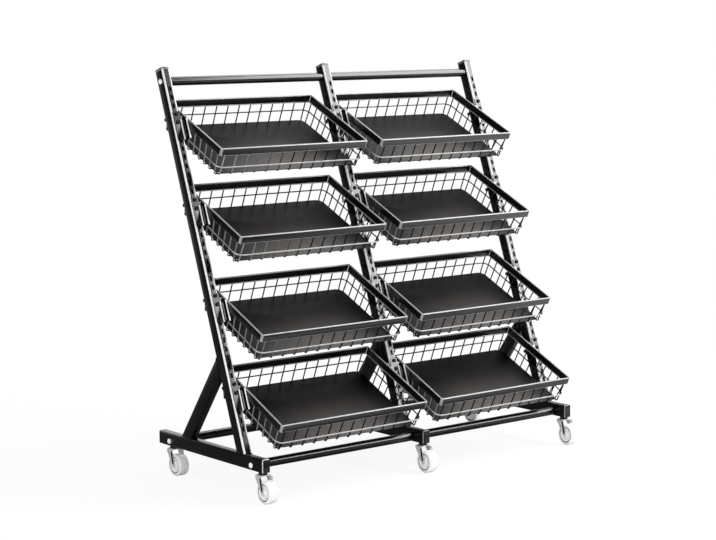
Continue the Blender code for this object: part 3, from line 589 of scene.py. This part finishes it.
def zinc_plate(name, bright, dull, roughness):
    """Zinc plating on pressed steel: soft cloudy patches in colour and gloss, and faint drawing lines."""
    made, spot, feed = new_finish(name, Metallic=0.5)
    cloud = spot.noise(90.0, 3.0)
    lines = spot.stretched(900.0, 900.0, 60.0).noise(1.0)
    feed(Base_Color=(0.7 * cloud + 0.3 * lines).between(0.30, 0.68).mixed(bright, dull),
         Roughness=roughness + 0.14 * (cloud - 0.5),
         Normal=lines.bump(0.10, 0.0002))
    return made


def fork_sheet(trail, axle_z):
    """One strip bent into a fork: up a leg, round a bend, over the top and down again. Its width and its
    middle go in straight lines from the top to the toe, which ends in a half circle round the axle."""
    toe = axle_z + FORK_TOE * np.sin(np.linspace(-np.pi / 2, 0.0, 7))
    leg = np.concatenate([toe, np.linspace(axle_z, FORK_TOP - FORK_SHEET / 2 - FORK_BEND, 8)[1:]])
    turn = np.linspace(0.0, np.pi / 2, 6)[1:]
    bend_x = -FORK_HALF + FORK_BEND * (1 - np.cos(turn))
    bend_z = leg[-1] + FORK_BEND * np.sin(turn)
    x = np.concatenate([np.full(len(leg), -FORK_HALF), bend_x])
    z = np.concatenate([leg, bend_z])
    out = np.concatenate([np.zeros(len(leg)), turn])
    x, z, out = np.append(x, -x[::-1]), np.append(z, z[::-1]), np.append(out, np.pi - out[::-1])
    up = np.clip((z - axle_z) / (FORK_TOP - axle_z), 0.0, 1.0)
    half = FORK_TOE + (FORK_LENGTH / 2 - FORK_TOE) * up
    half = np.where(z < axle_z, np.sqrt(np.maximum(FORK_TOE ** 2 - (z - axle_z) ** 2, 1e-9)), half)
    middle = -trail * (1 - up)
    rib = FORK_RIB * np.clip(4.0 * up, 0.0, 1.0) * np.cos(np.minimum(out, np.pi - out))
    run = np.linspace(-1.0, 1.0, 21)
    share = np.concatenate([run, run[::-1]])
    face = np.where(np.arange(42) < 21, -0.5, 0.5) * FORK_SHEET * np.where(np.abs(share) > 0.99, 0.55, 1.0)
    lift = face + rib[:, None] * np.exp(-((share - 0.35) / FORK_RIB_SHARE) ** 2)
    return np.stack([x[:, None] - np.cos(out)[:, None] * lift, middle[:, None] + half[:, None] * share,
                     z[:, None] + np.sin(out)[:, None] * lift], -1)


zinc = zinc_plate("zinc_plate_bright", ZINC_BRIGHT, ZINC_DULL, 0.30)
wheel_plastic = moulded_plastic("wheel_plastic_white", WHEEL_WHITE, WHEEL_GREY, 0.34)
groove_shade_plastic = moulded_plastic("wheel_seal_grey", GROOVE_SHADE_GREY, GROOVE_SHADE_PALE, 0.50)
cup_plastic = powder_coat("swivel_cup_black", PLASTIC_BLACK, PLASTIC_WORN, 0.30, 0.05)
for name in CASTERS:
    swivel = np.array(joints["swivel_" + name]["pos_m"])
    axle = np.array(joints["roll_" + name]["pos_m"])
    trail = swivel[1] - axle[1]
    ground = swivel * (1.0, 1.0, 0.0)
    strip = capped(fork_sheet(trail, axle[2])) + ground
    side = FORK_HALF + FORK_SHEET / 2
    rivet = [(-side - RIVET_HEAD, 0.0), (-side - RIVET_HEAD + 0.0002, RIVET_RADIUS * 0.6),
             (-side - RIVET_HEAD + 0.0010, RIVET_RADIUS), (-side + 0.0010, RIVET_RADIUS)]
    rivet += [(-along, radius) for along, radius in rivet[::-1]]
    fork = skin("fork_" + name, [strip, turned(rivet, RIVET_SIDES, axle)], zinc, "fork_" + name)
    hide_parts("caster_fork_" + name)
    up = np.linspace(*SHADE_STRIP_SPAN, 8)
    run = np.stack([np.full(len(up), side), -trail * (1 - SHADE_STRIP_LEAN * up),
                    axle[2] + (FORK_TOP - axle[2]) * up], -1)
    shade_strip = tube_section(SHADE_STRIP_THICK, SHADE_STRIP_WIDTH, SHADE_STRIP_EDGE, 2)
    shade_strips = [carried(shade_strip, ground + run * (sign, 1.0, 1.0), (1.0, 0.0, 0.0)) for sign in (-1, 1)]
    # Black strips laid down both legs as painted shade of the gap between leg and wheel.
    skin("fork_liner_" + name, shade_strips, cup_plastic, "fork_" + name)
    top = swivel[2] - JOINT_GAP
    shoulder = FORK_TOP + CUP_FLANGE
    cup = [(FORK_TOP - 0.0004, 0.0), (FORK_TOP - 0.0004, CUP_RADIUS - 0.0008),
           (FORK_TOP + 0.0006, CUP_RADIUS), (shoulder, CUP_RADIUS), (shoulder + 0.0006, CUP_RADIUS - 0.0010),
           (shoulder + 0.0008, CUP_NECK), (top - 0.0014, CUP_NECK), (top - 0.0010, CUP_RADIUS - 0.0006),
           (top, CUP_RADIUS - 0.0006), (top, 0.0)]
    skin("swivel_cup_" + name, [turned(cup, CUP_SIDES, ground, 2)], cup_plastic, "fork_" + name)
    tread = np.linspace(0.0, np.pi / 2, 6)
    floor_of = WHEEL_HALF - GROOVE_DEPTH
    face = [(HUB_HALF, AXLE_BORE), (HUB_HALF, HUB_RADIUS - 0.0006), (HUB_HALF - 0.0006, HUB_RADIUS),
            (WHEEL_HALF - WHEEL_DISH, HUB_RADIUS + 0.0006), (WHEEL_HALF - WHEEL_DISH, HUB_RADIUS + 0.0040),
            (WHEEL_HALF - 0.0006, HUB_RADIUS + 0.0056), (WHEEL_HALF - 0.0006, GROOVE_IN - 0.0005),
            (WHEEL_HALF - 0.0010, GROOVE_IN), (floor_of, GROOVE_IN), (floor_of, GROOVE_OUT),
            (WHEEL_HALF - 0.0005, GROOVE_OUT), (WHEEL_HALF, GROOVE_OUT + 0.0006)]
    face += [(WHEEL_HALF - TREAD_ROUND * (1 - np.cos(t)), WHEEL_RADIUS - TREAD_ROUND * (1 - np.sin(t)))
             for t in tread]
    profile = [(-along, radius) for along, radius in face] + face[::-1] + [(-HUB_HALF, AXLE_BORE)]
    wheel = skin("wheel_" + name, [turned(profile, WHEEL_SIDES, axle)], wheel_plastic, "wheel_" + name)
    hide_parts("caster_wheel_" + name)
    band = [(floor_of, GROOVE_IN), (WHEEL_HALF - WHEEL_DISH, GROOVE_IN + 0.0002),
            (WHEEL_HALF - 0.0012, GROOVE_IN + 0.0008), (WHEEL_HALF - 0.0012, GROOVE_OUT - 0.0008),
            (WHEEL_HALF - WHEEL_DISH, GROOVE_OUT - 0.0002), (floor_of, GROOVE_OUT), (floor_of, GROOVE_IN)]
    # A dark grey ring in each face's groove, painted shade of the groove.
    groove_shades = [turned([(sign * x, radius) for x, radius in band], WHEEL_SIDES, axle) for sign in (-1, 1)]
    skin("wheel_seal_" + name, groove_shades, groove_shade_plastic, "wheel_" + name)

# Brackets: 2 mm strip folded into a channel that stands beside the upright, with a flange held to the slots
# by two black bolts and rear nuts. The middle column's brackets carry a channel on each side.
TIER_SLOTS = {1: 3, 2: 13, 3: 24, 4: 34}   # slot of each tier's upper bolt, counted from the top
PLATE = 0.0020
LEG_NEAR = 0.0130          # upright's middle line to the channel's inner leg
LEG_FAR = 0.02575          # and to the far face of its outer leg
FLANGE_FACE = -0.01935     # the flange's rear face, just ahead of the upright's front
WEB_FRONT = -0.00005
CHANNEL_TOP = -0.01666     # from the upper bolt
CHANNEL_LENGTH = 0.0587
FLANGE_REACH = 0.0100
FLANGE_TAB = 0.0080
TAB_CORNER = 0.0030
TAB_EDGE = 0.0006
BEND_RADIUS = 0.0024
PLATE_EDGE = 0.0007
HEX_ACROSS = 0.0097
HEX_HEAD = 0.0042
HEX_CHAMFER = 0.0008
NUT_LENGTH = 0.0180
LEG_AHEAD = 0.0140         # outer leg past the flange
HEM_RADIUS = 0.0023        # rolled front edges of the legs
STEEL_DARK = (0.0060, 0.0060, 0.0062)
STEEL_PALE = (0.0140, 0.0140, 0.0140)


def bent(points, radius, steps=5):
    """A path with its inner corners bent to a radius: from where each bend starts, round its centre."""
    points = np.array(points, float)
    run = [points[:1]]
    for before, here, after in zip(points[:-2], points[1:-1], points[2:]):
        back, on = unit(before - here), unit(after - here)
        half = np.arccos(np.clip(back @ on, -1.0, 1.0)) / 2
        centre = here + unit(back + on) * radius / np.sin(half)
        first, last = here + back * radius / np.tan(half), here + on * radius / np.tan(half)
        share = np.linspace(0.0, 1.0, steps)[:, None]
        chord = first - centre + (last - first) * share
        run.append(centre + unit(chord) * radius)
    return np.concatenate(run + [points[-1:]])


def hexagon(low, high, side):
    """A hexagon prism along Y whose outer end is rounded off by a chamfer."""
    edge = HEX_CHAMFER * np.sign(high - low)
    rows = [(low, 0.0), (low, 1.0), (high - edge, 1.0), (high, 0.86), (high, 0.0)]
    ring = circle(side / math.sqrt(3), 6)
    return np.array([np.insert(size * ring, 1, y, axis=1) for y, size in rows])


hardware_steel = powder_coat("bracket_bolt_steel", STEEL_DARK, STEEL_PALE, 0.50, 0.10, 1.20)
mid = PLATE / 2
channel = [(LEG_NEAR + mid, FLANGE_FACE - mid, 0.0), (LEG_NEAR + mid, WEB_FRONT + mid, 0.0),
           (LEG_FAR - mid, WEB_FRONT + mid, 0.0), (LEG_FAR - mid, FLANGE_FACE - LEG_AHEAD, 0.0)]
mirrored = [(-x, y, z) for x, y, z in channel]
fold_paths = {"left": [(-FLANGE_REACH, FLANGE_FACE - mid, 0.0)] + channel,
              "middle": mirrored[::-1] + channel,
              "right": [(FLANGE_REACH, FLANGE_FACE - mid, 0.0)] + mirrored}
strip_section = tube_section(CHANNEL_LENGTH, PLATE, PLATE_EDGE, 2)
hem_spots = [(LEG_NEAR - HEM_RADIUS, FLANGE_FACE - PLATE - HEM_RADIUS),
             (LEG_FAR - HEM_RADIUS, FLANGE_FACE - LEG_AHEAD)]
hem_signs = {"left": (1,), "middle": (-1, 1), "right": (-1,)}
tab_spans = {"left": (-FLANGE_REACH, TUBE_WIDTH / 2), "middle": (-TUBE_WIDTH / 2, TUBE_WIDTH / 2),
             "right": (-TUBE_WIDTH / 2, FLANGE_REACH)}
for side in SIDES:
    fold = carried(strip_section, bent(fold_paths[side], BEND_RADIUS))
    fold = fold + (0.0, 0.0, CHANNEL_TOP - CHANNEL_LENGTH / 2)
    tab_low, tab_high = CHANNEL_TOP - 2 * PLATE, FLANGE_TAB
    left, right = tab_spans[side]
    tab = soft_bar(right - left, tab_high - tab_low, PLATE, TAB_CORNER, TAB_EDGE)[..., [0, 2, 1]]
    tab = tab + ((left + right) / 2, FLANGE_FACE - PLATE, (tab_low + tab_high) / 2)
    rows = [(CHANNEL_TOP, 0.0), (CHANNEL_TOP, HEM_RADIUS), (CHANNEL_TOP - CHANNEL_LENGTH, HEM_RADIUS),
            (CHANNEL_TOP - CHANNEL_LENGTH, 0.0)]
    hems = [turned(rows, 12, (sign * x, y, 0.0), 2) for sign in hem_signs[side] for x, y in hem_spots]
    bolts, tabs = [], []
    for tier, slot in TIER_SLOTS.items():
        sheets = [leaning(sheet, side, slot_middles[slot]) for sheet in hems + [fold]]
        tabs.append(leaning(tab, side, slot_middles[slot]))
        # The rolled hems take the painted edge highlight in full.
        bracket = skin(f"bracket_fold_{side}_{tier}", sheets, black_coat, sharp=20.0, highlights=(1.0,) * len(hems))
        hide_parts(f"bracket_{side}_{tier}")
        for drop in (0.0, SLOT_PITCH):
            here = slot_middles[slot] - drop
            head = hexagon(FLANGE_FACE - PLATE, FLANGE_FACE - PLATE - HEX_HEAD, HEX_ACROSS)
            nut = hexagon(TUBE_DEPTH / 2, TUBE_DEPTH / 2 + NUT_LENGTH, HEX_ACROSS)
            bolts += [leaning(part + (SLOT_SHIFT, 0.0, 0.0), side, here) for part in (head, nut)]
    skin("bracket_tabs_" + side, tabs, black_coat, sharp=5.0)
    skin("bracket_bolts_" + side, bolts, hardware_steel)

# Baskets: a flat bar rim bent at the corners, a lip wire under it, thirteen wires front to back and ten side
# to side welded below it, a ring wire round the outside and two hooks that drop into the brackets.
BASKET_TILT = math.radians(25.2)
TILT_SIN, TILT_COS = math.sin(BASKET_TILT), math.cos(BASKET_TILT)
BASKET_WIDTH = 0.5155
BASKET_DEPTH = 0.2985
BASKET_HEIGHT = 0.0900
RIM_HEIGHT = 0.0227
RIM_THICK = 0.0050
RIM_CORNER = 0.0060
RIM_EDGE = 0.0020
RIM_BITE = 0.0015          # how far the wires reach up behind the rim
LIP_RADIUS = 0.0014
LIP_GAP = 0.0004
RIM_BEAD = 0.0013          # weld beads inside the rim's rear corners, made pale by the painted edge highlight
RIM_BEAD_END = 0.0012
WIRE_RADIUS = 0.0019
WIRE_BEND = 0.0048
WIRES_ACROSS = 13
WIRES_ALONG = 10
WIRE_EDGE_ACROSS = 0.0178
WIRE_EDGE_ALONG = 0.0137
BOTTOM_EDGE = 0.0090
BOTTOM_EDGE_ALONG = 0.0150
TAPER_FRONT = 0.0055
TAPER_SIDE = 0.0095
WALL_DRAW = 0.0036         # how far the front and back walls draw in on their way down
RING_FRONT = 0.0590
RING_REAR = 0.0510
RING_CORNER = 0.0220
RING_GAP = 0.0002
HOOK_BACK = -0.00105
HOOK_DEPTH = 0.0150
HOOK_EDGE = 0.0010
TONGUE_DEPTH = 0.0260      # the tongue below the arm, with its face plate
TONGUE_DROP = 0.0040
HOOK_SEAT = -0.01636
HOOK_ARM = 0.0120
HOOK_TIP = -0.07236
HOOK_NEAR = 0.0155
HOOK_FAR = 0.02325
HOOK_WELD = 0.02875        # where the arm ends, in the rim
WIRE_SIDES = 8
BASKET_BLACK = (0.0008, 0.0008, 0.0008)
BASKET_DUSTY = (0.0026, 0.0025, 0.0025)
# Strengths of the painted edge highlight:
RIM_HIGHLIGHT = 0.40
LIP_HIGHLIGHT = 0.45
RING_HIGHLIGHT = 0.50           # painted highlight of the ring wire at the front and its left corner; half as much on the left
SIDE_HIGHLIGHT = 0.22           # painted highlight share of the left wall's wires
FRONT_HIGHLIGHT = {"left_1": 0.34, "left_2": 0.30, "left_3": 0.16}   # and of the front wall's leftmost wire
FADING_WIRES = 6           # wires over which that fades out to the right


def basket_place(points, spot):
    """Points in the plane of the rim, turned by the tilt about the rim's rear top edge."""
    return tilted(points, spot, TILT_SIN, TILT_COS)


def fanned_wires(count, span, inset, layer, breadth, edge, bottom_edge):
    """Wires down a wall, along the bottom and up the other wall. Each starts at its place along the rim and
    slides to its place along the bottom in proportion to how far it has gone down."""
    start = RIM_THICK / 2
    bite = RIM_HEIGHT - RIM_BITE
    path = bent([(-start, -bite), (-inset, layer), (-span + inset, layer), (-span + start, -bite)], WIRE_BEND)
    share = np.linspace(-1.0, 1.0, count)[:, None]
    down = np.clip((-RIM_HEIGHT - path[:, 1]) / (BASKET_HEIGHT - RIM_HEIGHT), 0.0, 1.0)
    across = share * (breadth / 2 - edge + (edge - bottom_edge) * down)
    along = np.broadcast_to(path[:, 0], across.shape)
    return across, along, np.broadcast_to(path[:, 1], across.shape)


def wall_inset(inset, layer, depth):
    """How far in a wall wire stands at a depth under the rim's top."""
    return RIM_THICK / 2 + (inset - RIM_THICK / 2) * (depth - RIM_HEIGHT) / (-RIM_HEIGHT - layer)


def slab(outline, low, high, edge):
    """An outline carried along Y with its edges eased: each corner moves in midway between its two sides."""
    outline = np.array(outline, float)
    ahead = unit(np.roll(outline, -1, 0) - outline)
    turn = np.sign(np.sum(outline[:, 0] * np.roll(outline[:, 1], -1)
                          - np.roll(outline[:, 0], -1) * outline[:, 1]))
    side = turn * np.stack([-ahead[:, 1], ahead[:, 0]], -1)
    behind = np.roll(side, 1, 0)
    inward = (side + behind) / (1 + (side * behind).sum(1, keepdims=True))
    rows = [(edge, low), (0.0, low + edge), (0.0, high - edge), (edge, high)]
    return np.array([np.insert(outline + inset * inward, 1, y, axis=1) for inset, y in rows])


basket_coat = powder_coat("basket_black_coat", BASKET_BLACK, BASKET_DUSTY, 0.24, 0.14, 1.8)
wire_coat = powder_coat("basket_wire_coat", BASKET_BLACK, BASKET_DUSTY, 0.40, 0.14, 1.32)
lower_layer = -BASKET_HEIGHT + WIRE_RADIUS
upper_layer = lower_layer + 2 * WIRE_RADIUS + JOINT_GAP
front_inset = WALL_DRAW + WIRE_RADIUS
side_inset = TAPER_SIDE + WIRE_RADIUS
wire = circle(WIRE_RADIUS, WIRE_SIDES)
rim_ring = tube_section(BASKET_WIDTH - RIM_THICK, BASKET_DEPTH - RIM_THICK, RIM_CORNER - RIM_THICK / 2, 6)
rim_path = raised(rim_ring - (0.0, BASKET_DEPTH / 2), -RIM_HEIGHT / 2)[0]
rim = carried(tube_section(RIM_HEIGHT, RIM_THICK, RIM_EDGE), rim_path, closed=True)
lip_in = RIM_THICK + LIP_GAP
lip_ring = tube_section(BASKET_WIDTH - 2 * lip_in, BASKET_DEPTH - 2 * lip_in, RIM_CORNER - RIM_EDGE, 6)
lip_path = raised(lip_ring - (0.0, BASKET_DEPTH / 2), -RIM_HEIGHT)[0]
lip = carried(circle(LIP_RADIUS, 6), lip_path, closed=True)
across, along, height = fanned_wires(WIRES_ACROSS, BASKET_DEPTH, front_inset, upper_layer, BASKET_WIDTH,
                                     WIRE_EDGE_ACROSS, TAPER_SIDE + BOTTOM_EDGE)
front_wires = carried(wire, np.stack([across, along, height], -1), (1.0, 0.0, 0.0))
across, along, height = fanned_wires(WIRES_ALONG, BASKET_WIDTH, side_inset, lower_layer, BASKET_DEPTH,
                                     WIRE_EDGE_ALONG, TAPER_FRONT + BOTTOM_EDGE_ALONG)
side_wires = carried(wire, np.stack([along + BASKET_WIDTH / 2, across - BASKET_DEPTH / 2, height], -1),
                     (0.0, 1.0, 0.0))
ring_slack = 2 * WIRE_RADIUS + RING_GAP
ring_front = max(wall_inset(front_inset, upper_layer, RING_FRONT) - ring_slack, 0.0)
ring_rear = max(wall_inset(front_inset, upper_layer, RING_REAR) - ring_slack, 0.0)
ring_side = max(wall_inset(side_inset, lower_layer, RING_REAR) - ring_slack, WIRE_RADIUS)
ring_plan = tube_section(BASKET_WIDTH - 2 * ring_side, BASKET_DEPTH - ring_front - ring_rear, RING_CORNER, 6)
ring_y = ring_plan[:, 1] - (BASKET_DEPTH - ring_front + ring_rear) / 2
ring_z = -RING_REAR + ring_y * (RING_FRONT - RING_REAR) / BASKET_DEPTH
ring = carried(wire, np.column_stack([ring_plan[:, 0], ring_y, ring_z]), closed=True)
ring_highlight = np.zeros(len(ring_plan))
ring_highlight[13] = RING_HIGHLIGHT / 2
ring_highlight[14:22] = RING_HIGHLIGHT
bead_rows = [(-RIM_BEAD_END, 0.0), (-RIM_BEAD_END, RIM_BEAD), (RIM_BEAD_END - RIM_HEIGHT, RIM_BEAD),
             (RIM_BEAD_END - RIM_HEIGHT, 0.0)]
bead_in = RIM_THICK + RIM_BEAD / 2
beads = [turned(bead_rows, 12, (sign * (BASKET_WIDTH / 2 - bead_in), -bead_in, 0.0), 2) for sign in (-1, 1)]
# The rim, lip, ring wire and beads take the painted edge highlight.
basket_highlight = [RIM_HIGHLIGHT, LIP_HIGHLIGHT, np.repeat(ring_highlight, WIRE_SIDES), 1.0, 1.0]
far_wall = np.arange(front_wires.shape[1] - 1) < front_wires.shape[1] * 2 // 3
near_wall = np.repeat(np.where(far_wall, 0.0, 1.0), WIRE_SIDES)
fading = np.clip(1.0 - np.arange(WIRES_ACROSS) / FADING_WIRES, 0.0, 1.0)
hook_outline = [(HOOK_NEAR, HOOK_SEAT + HOOK_ARM), (HOOK_WELD, HOOK_SEAT + HOOK_ARM), (HOOK_WELD, HOOK_SEAT),
                (HOOK_FAR, HOOK_SEAT), (HOOK_FAR, HOOK_TIP), (HOOK_NEAR, HOOK_TIP)]
tongue_top = HOOK_SEAT - TONGUE_DROP
tongue_outline = [(HOOK_NEAR, tongue_top), (HOOK_FAR, tongue_top)] + hook_outline[-2:]
basket_spots = {}
for bay, columns in zip(BAYS, (SIDES[:2], SIDES[1:])):
    for tier, slot in TIER_SLOTS.items():
        name = f"{bay}_{tier}"
        low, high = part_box("basket_" + name)
        spot = ((low[0] + high[0]) / 2, low[1] + BASKET_DEPTH * TILT_COS, high[2])
        basket_spots[name] = spot
        hooks = []
        for side, sign in zip(columns, (1, -1)):
            for outline, front, back in ((hook_outline, HOOK_DEPTH, 0.0),
                                         (tongue_outline, TONGUE_DEPTH, HOOK_DEPTH - HOOK_EDGE)):
                plate = slab([(sign * x, z) for x, z in outline], HOOK_BACK - front, HOOK_BACK - back,
                             HOOK_EDGE)
                hooks.append(leaning(plate, side, slot_middles[slot]))
        bars = [basket_place(sheet, spot) for sheet in (rim, lip, ring, *beads)]
        basket = skin("wire_basket_" + name, bars + hooks, basket_coat, "basket_" + name,
                      lids=[hook[end] for hook in hooks for end in (0, -1)], highlights=basket_highlight)
        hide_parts("basket_" + name)
        # Painted edge highlight on the last third of each wire: the front wall, fading to the right, and the
        # left wall.
        shares = np.append(FRONT_HIGHLIGHT.get(name, 0.0) * fading, np.full(WIRES_ALONG, SIDE_HIGHLIGHT))
        skin("basket_wires_" + name, [basket_place(sheet, spot) for sheet in (*front_wires, *side_wires)],
             wire_coat, "basket_" + name, highlights=[share * near_wall for share in shares])

# Trays: 2 mm sheets with round corners, coated satin charcoal, that lie loose on the baskets' bottom wires.
# Their colour carries a painted sheen and painted light: paler toward the front and the middle, darkest at
# the rear.
TRAY_THICK = 0.0020
TRAY_CORNER = 0.0220
TRAY_MARGIN = 0.0010
TRAY_EDGE = 0.0006
TRAY_CHARCOAL = (0.0015, 0.0015, 0.0014)
# pale colour of the painted sheen
TRAY_PAINTED_SHEEN = (0.1250, 0.1175, 0.1125)


def sheen_painted_coat(name, dark, rubbed):
    """Baked powder with a painted sheen: paler with the square of the way to the front, and less so with the
    square of the way to the sides, in streaks that run down the slope."""
    made, spot, feed = new_finish(name, IOR=1.10)
    slide, aside = spot.attribute("slide"), spot.attribute("aside")
    streak = spot.stretched(90.0, 5.0, 5.0).noise(1.0, 3.0)
    drift = spot.noise(7.0, 4.0)
    fine = spot.noise(1400.0)
    # painted sheen and painted light, strongest at the front middle
    painted_sheen = slide * slide * (1.0 - 0.95 * aside * aside) * (0.60 + 0.40 * drift + 0.40 * streak)
    feed(Base_Color=painted_sheen.mixed(dark, rubbed), Roughness=0.44 + 0.10 * (drift - 0.5) + 0.06 * (fine - 0.5),
         Normal=fine.bump(0.12, 0.0002))
    return made


tray_coat = sheen_painted_coat("tray_charcoal_coat", TRAY_CHARCOAL, TRAY_PAINTED_SHEEN)
tray_low = upper_layer + WIRE_RADIUS + JOINT_GAP
tray_sheet = soft_bar(BASKET_WIDTH - 2 * (TAPER_SIDE + 2 * WIRE_RADIUS + TRAY_MARGIN),
                      BASKET_DEPTH - 2 * (front_inset + WIRE_RADIUS + TRAY_MARGIN),
                      TRAY_THICK, TRAY_CORNER, TRAY_EDGE, 8) + (0.0, -BASKET_DEPTH / 2, tray_low)
for name, spot in basket_spots.items():
    tray = skin("tray_sheet_" + name, [basket_place(tray_sheet, spot)], tray_coat, "basket_" + name)
    # shares of the way to the front and to the sides, which lay the painted sheen
    away = spot - read(tray.data.vertices, "co", float, 3)
    for way, share in (("slide", away @ (0.0, TILT_COS, TILT_SIN) / BASKET_DEPTH),
                       ("aside", away @ (1.0, 0.0, 0.0) / (BASKET_WIDTH / 2))):
        tray.data.attributes.new(way, "FLOAT", "POINT").data.foreach_set("value", share)
    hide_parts("tray_" + name)

# Studio: a plain white floor, a long slanting bank to the right, a softbox low on the left, a dimmer bank
# high behind, a white backdrop behind the rack and an even fill.
FLOOR_HALF = 2.6
FLOOR_WHITE = (0.82, 0.82, 0.82)
FLOOR_SHARE = 0.90         # of the floor's look that is plain white, the rest is lit and takes the shadow
FLOOR_BRIGHT_WAY = (0.85, -0.53, 0.0)
DIM_STUDIO = 0.10          # what shiny surfaces see of the floor away from the lamps
DIM_WALLS = 0.045
FRONT_CARD = 0.70          # how bright shiny surfaces see a strip of floor just ahead of the rack
FILL = 0.60
BACKDROP_WAY = (0.50, 0.866, 0.0)
AIM = np.array([0.0, 0.0, 0.60])


def seen_plainly(tree):
    """Two values: 1 for camera rays, and 1 for glossy and transmission rays; both are 0 for the rest."""
    camera, glossy, clear = (Tone(tree).node("ShaderNodeLightPath", {}, {}, out)
                             for out in ("Is Camera Ray", "Is Glossy Ray", "Is Transmission Ray"))
    return camera, glossy.larger(clear)


floor_look = bpy.data.materials.new("studio_floor")
floor_look.use_nodes = True
tree = floor_look.node_tree
tree.nodes.remove(tree.nodes["Principled BSDF"])
lit = Tone(tree).node("ShaderNodeBsdfDiffuse", {}, {"Color": (*FLOOR_WHITE, 1.0)})
by_camera, by_gloss = seen_plainly(tree)
spot = Tone(tree).node("ShaderNodeTexCoord", {}, {}, "Object")
far = spot.node("ShaderNodeVectorMath", {"operation": "LENGTH"}, {0: spot}, "Value")
reach = spot.toward((0.0, -1.0, 0.0))
strip = FRONT_CARD * reach.between(0.34, 0.41) * (1.0 - reach.between(0.47, 0.53))
bright = (0.5 + 0.3 * spot.toward(FLOOR_BRIGHT_WAY)).between(0.62, 0.85)
paper = DIM_STUDIO + (1.0 - DIM_STUDIO) * bright.larger(strip)
plain = Tone(tree).node("ShaderNodeEmission", {}, {"Strength": by_camera + by_gloss * paper})
white = FLOOR_SHARE + (1.0 - FLOOR_SHARE) * (far * (1.0 / FLOOR_HALF)).between(0.45, 0.95)
floor_mix = Tone(tree).node("ShaderNodeMixShader", {}, {0: by_gloss.larger(white * by_camera), 1: lit,
                                                       2: plain})
tree.links.new(floor_mix.socket, tree.nodes["Material Output"].inputs["Surface"])
floor_mesh = bpy.data.meshes.new("studio_floor")
corners = np.array([(-1, -1, 0), (1, -1, 0), (1, 1, 0), (-1, 1, 0)]) * FLOOR_HALF
floor_mesh.from_pydata(corners, [], [(0, 1, 2, 3)])
floor_mesh.materials.append(floor_look)
floor = put("studio_floor", floor_mesh)

world = bpy.data.worlds.new("studio_world")
scene.world = world
world.use_nodes = True
tree = world.node_tree
by_camera, by_gloss = seen_plainly(tree)
way = Tone(tree).node("ShaderNodeTexCoord", {}, {}, "Generated")
high = way.toward((0.0, 0.0, 1.0)).between(0.35, 0.65)
backdrop = way.toward(BACKDROP_WAY).between(0.50, 0.66) * (1.0 - 0.7 * high)
mirrored = by_gloss * (DIM_WALLS + (1.0 - DIM_WALLS) * backdrop)
strength = by_camera.larger(mirrored) + FILL * (1.0 - by_camera.larger(by_gloss))
tree.links.new(strength.socket, tree.nodes["Background"].inputs["Strength"])
tree.nodes["Background"].inputs["Color"].default_value = (1.0, 1.0, 1.0, 1.0)


def turn_to(item, place, back, roll):
    """Sets an object at a place with its -Z away from back, its X level and then rolled."""
    right = np.array([-back[1], back[0], 0.0]) / np.hypot(back[0], back[1])
    up = np.cross(back, right)
    rolled = math.cos(roll) * right + math.sin(roll) * up
    turn = np.eye(4)
    turn[:3, :3] = np.column_stack([rolled, np.cross(back, rolled), back])
    turn[:3, 3] = place
    item.matrix_world = Matrix(turn.tolist())


def softbox(name, place, size, brightness, roll):
    """A rectangular lamp that looks at the rack; its watts are brightness times pi times its area."""
    lamp = bpy.data.lights.new(name, "AREA")
    lamp.shape = "RECTANGLE"
    lamp.size, lamp.size_y = size
    lamp.energy = brightness * math.pi * size[0] * size[1]
    turn_to(put(name, lamp), place, unit(np.array(place) - AIM), math.radians(roll))


softbox("right_bank", (1.97, -1.43, 2.33), (3.2, 1.6), 9.5, 56.0)
softbox("left_softbox", (-3.4, -1.6, 1.1), (1.8, 1.8), 5.5, 0.0)
softbox("high_bank", (2.2, 1.2, 3.6), (2.4, 1.6), 4.5, 0.0)

# Camera: the photograph's viewpoint, ahead of the rack and to its left, with a long lens a little above the
# top tier.
CAMERA_PLACE = (-3.557, -4.3804, 1.287)
CAMERA_AZIMUTH = math.radians(-38.66)
CAMERA_ELEVATION = math.radians(7.32)
CAMERA_ROLL = math.radians(-0.42)
CAMERA_LENS = 97.35
SENSOR_WIDTH = 36.0
camera_data = bpy.data.cameras.new("photo_camera")
camera_data.lens = CAMERA_LENS
camera_data.sensor_width = SENSOR_WIDTH
camera = put("photo_camera", camera_data)
level = math.cos(CAMERA_ELEVATION)
turn_to(camera, CAMERA_PLACE, np.array([math.sin(CAMERA_AZIMUTH) * level, -math.cos(CAMERA_AZIMUTH) * level,
                                        math.sin(CAMERA_ELEVATION)]), CAMERA_ROLL)
scene.camera = camera
scene.view_settings.view_transform = "Standard"
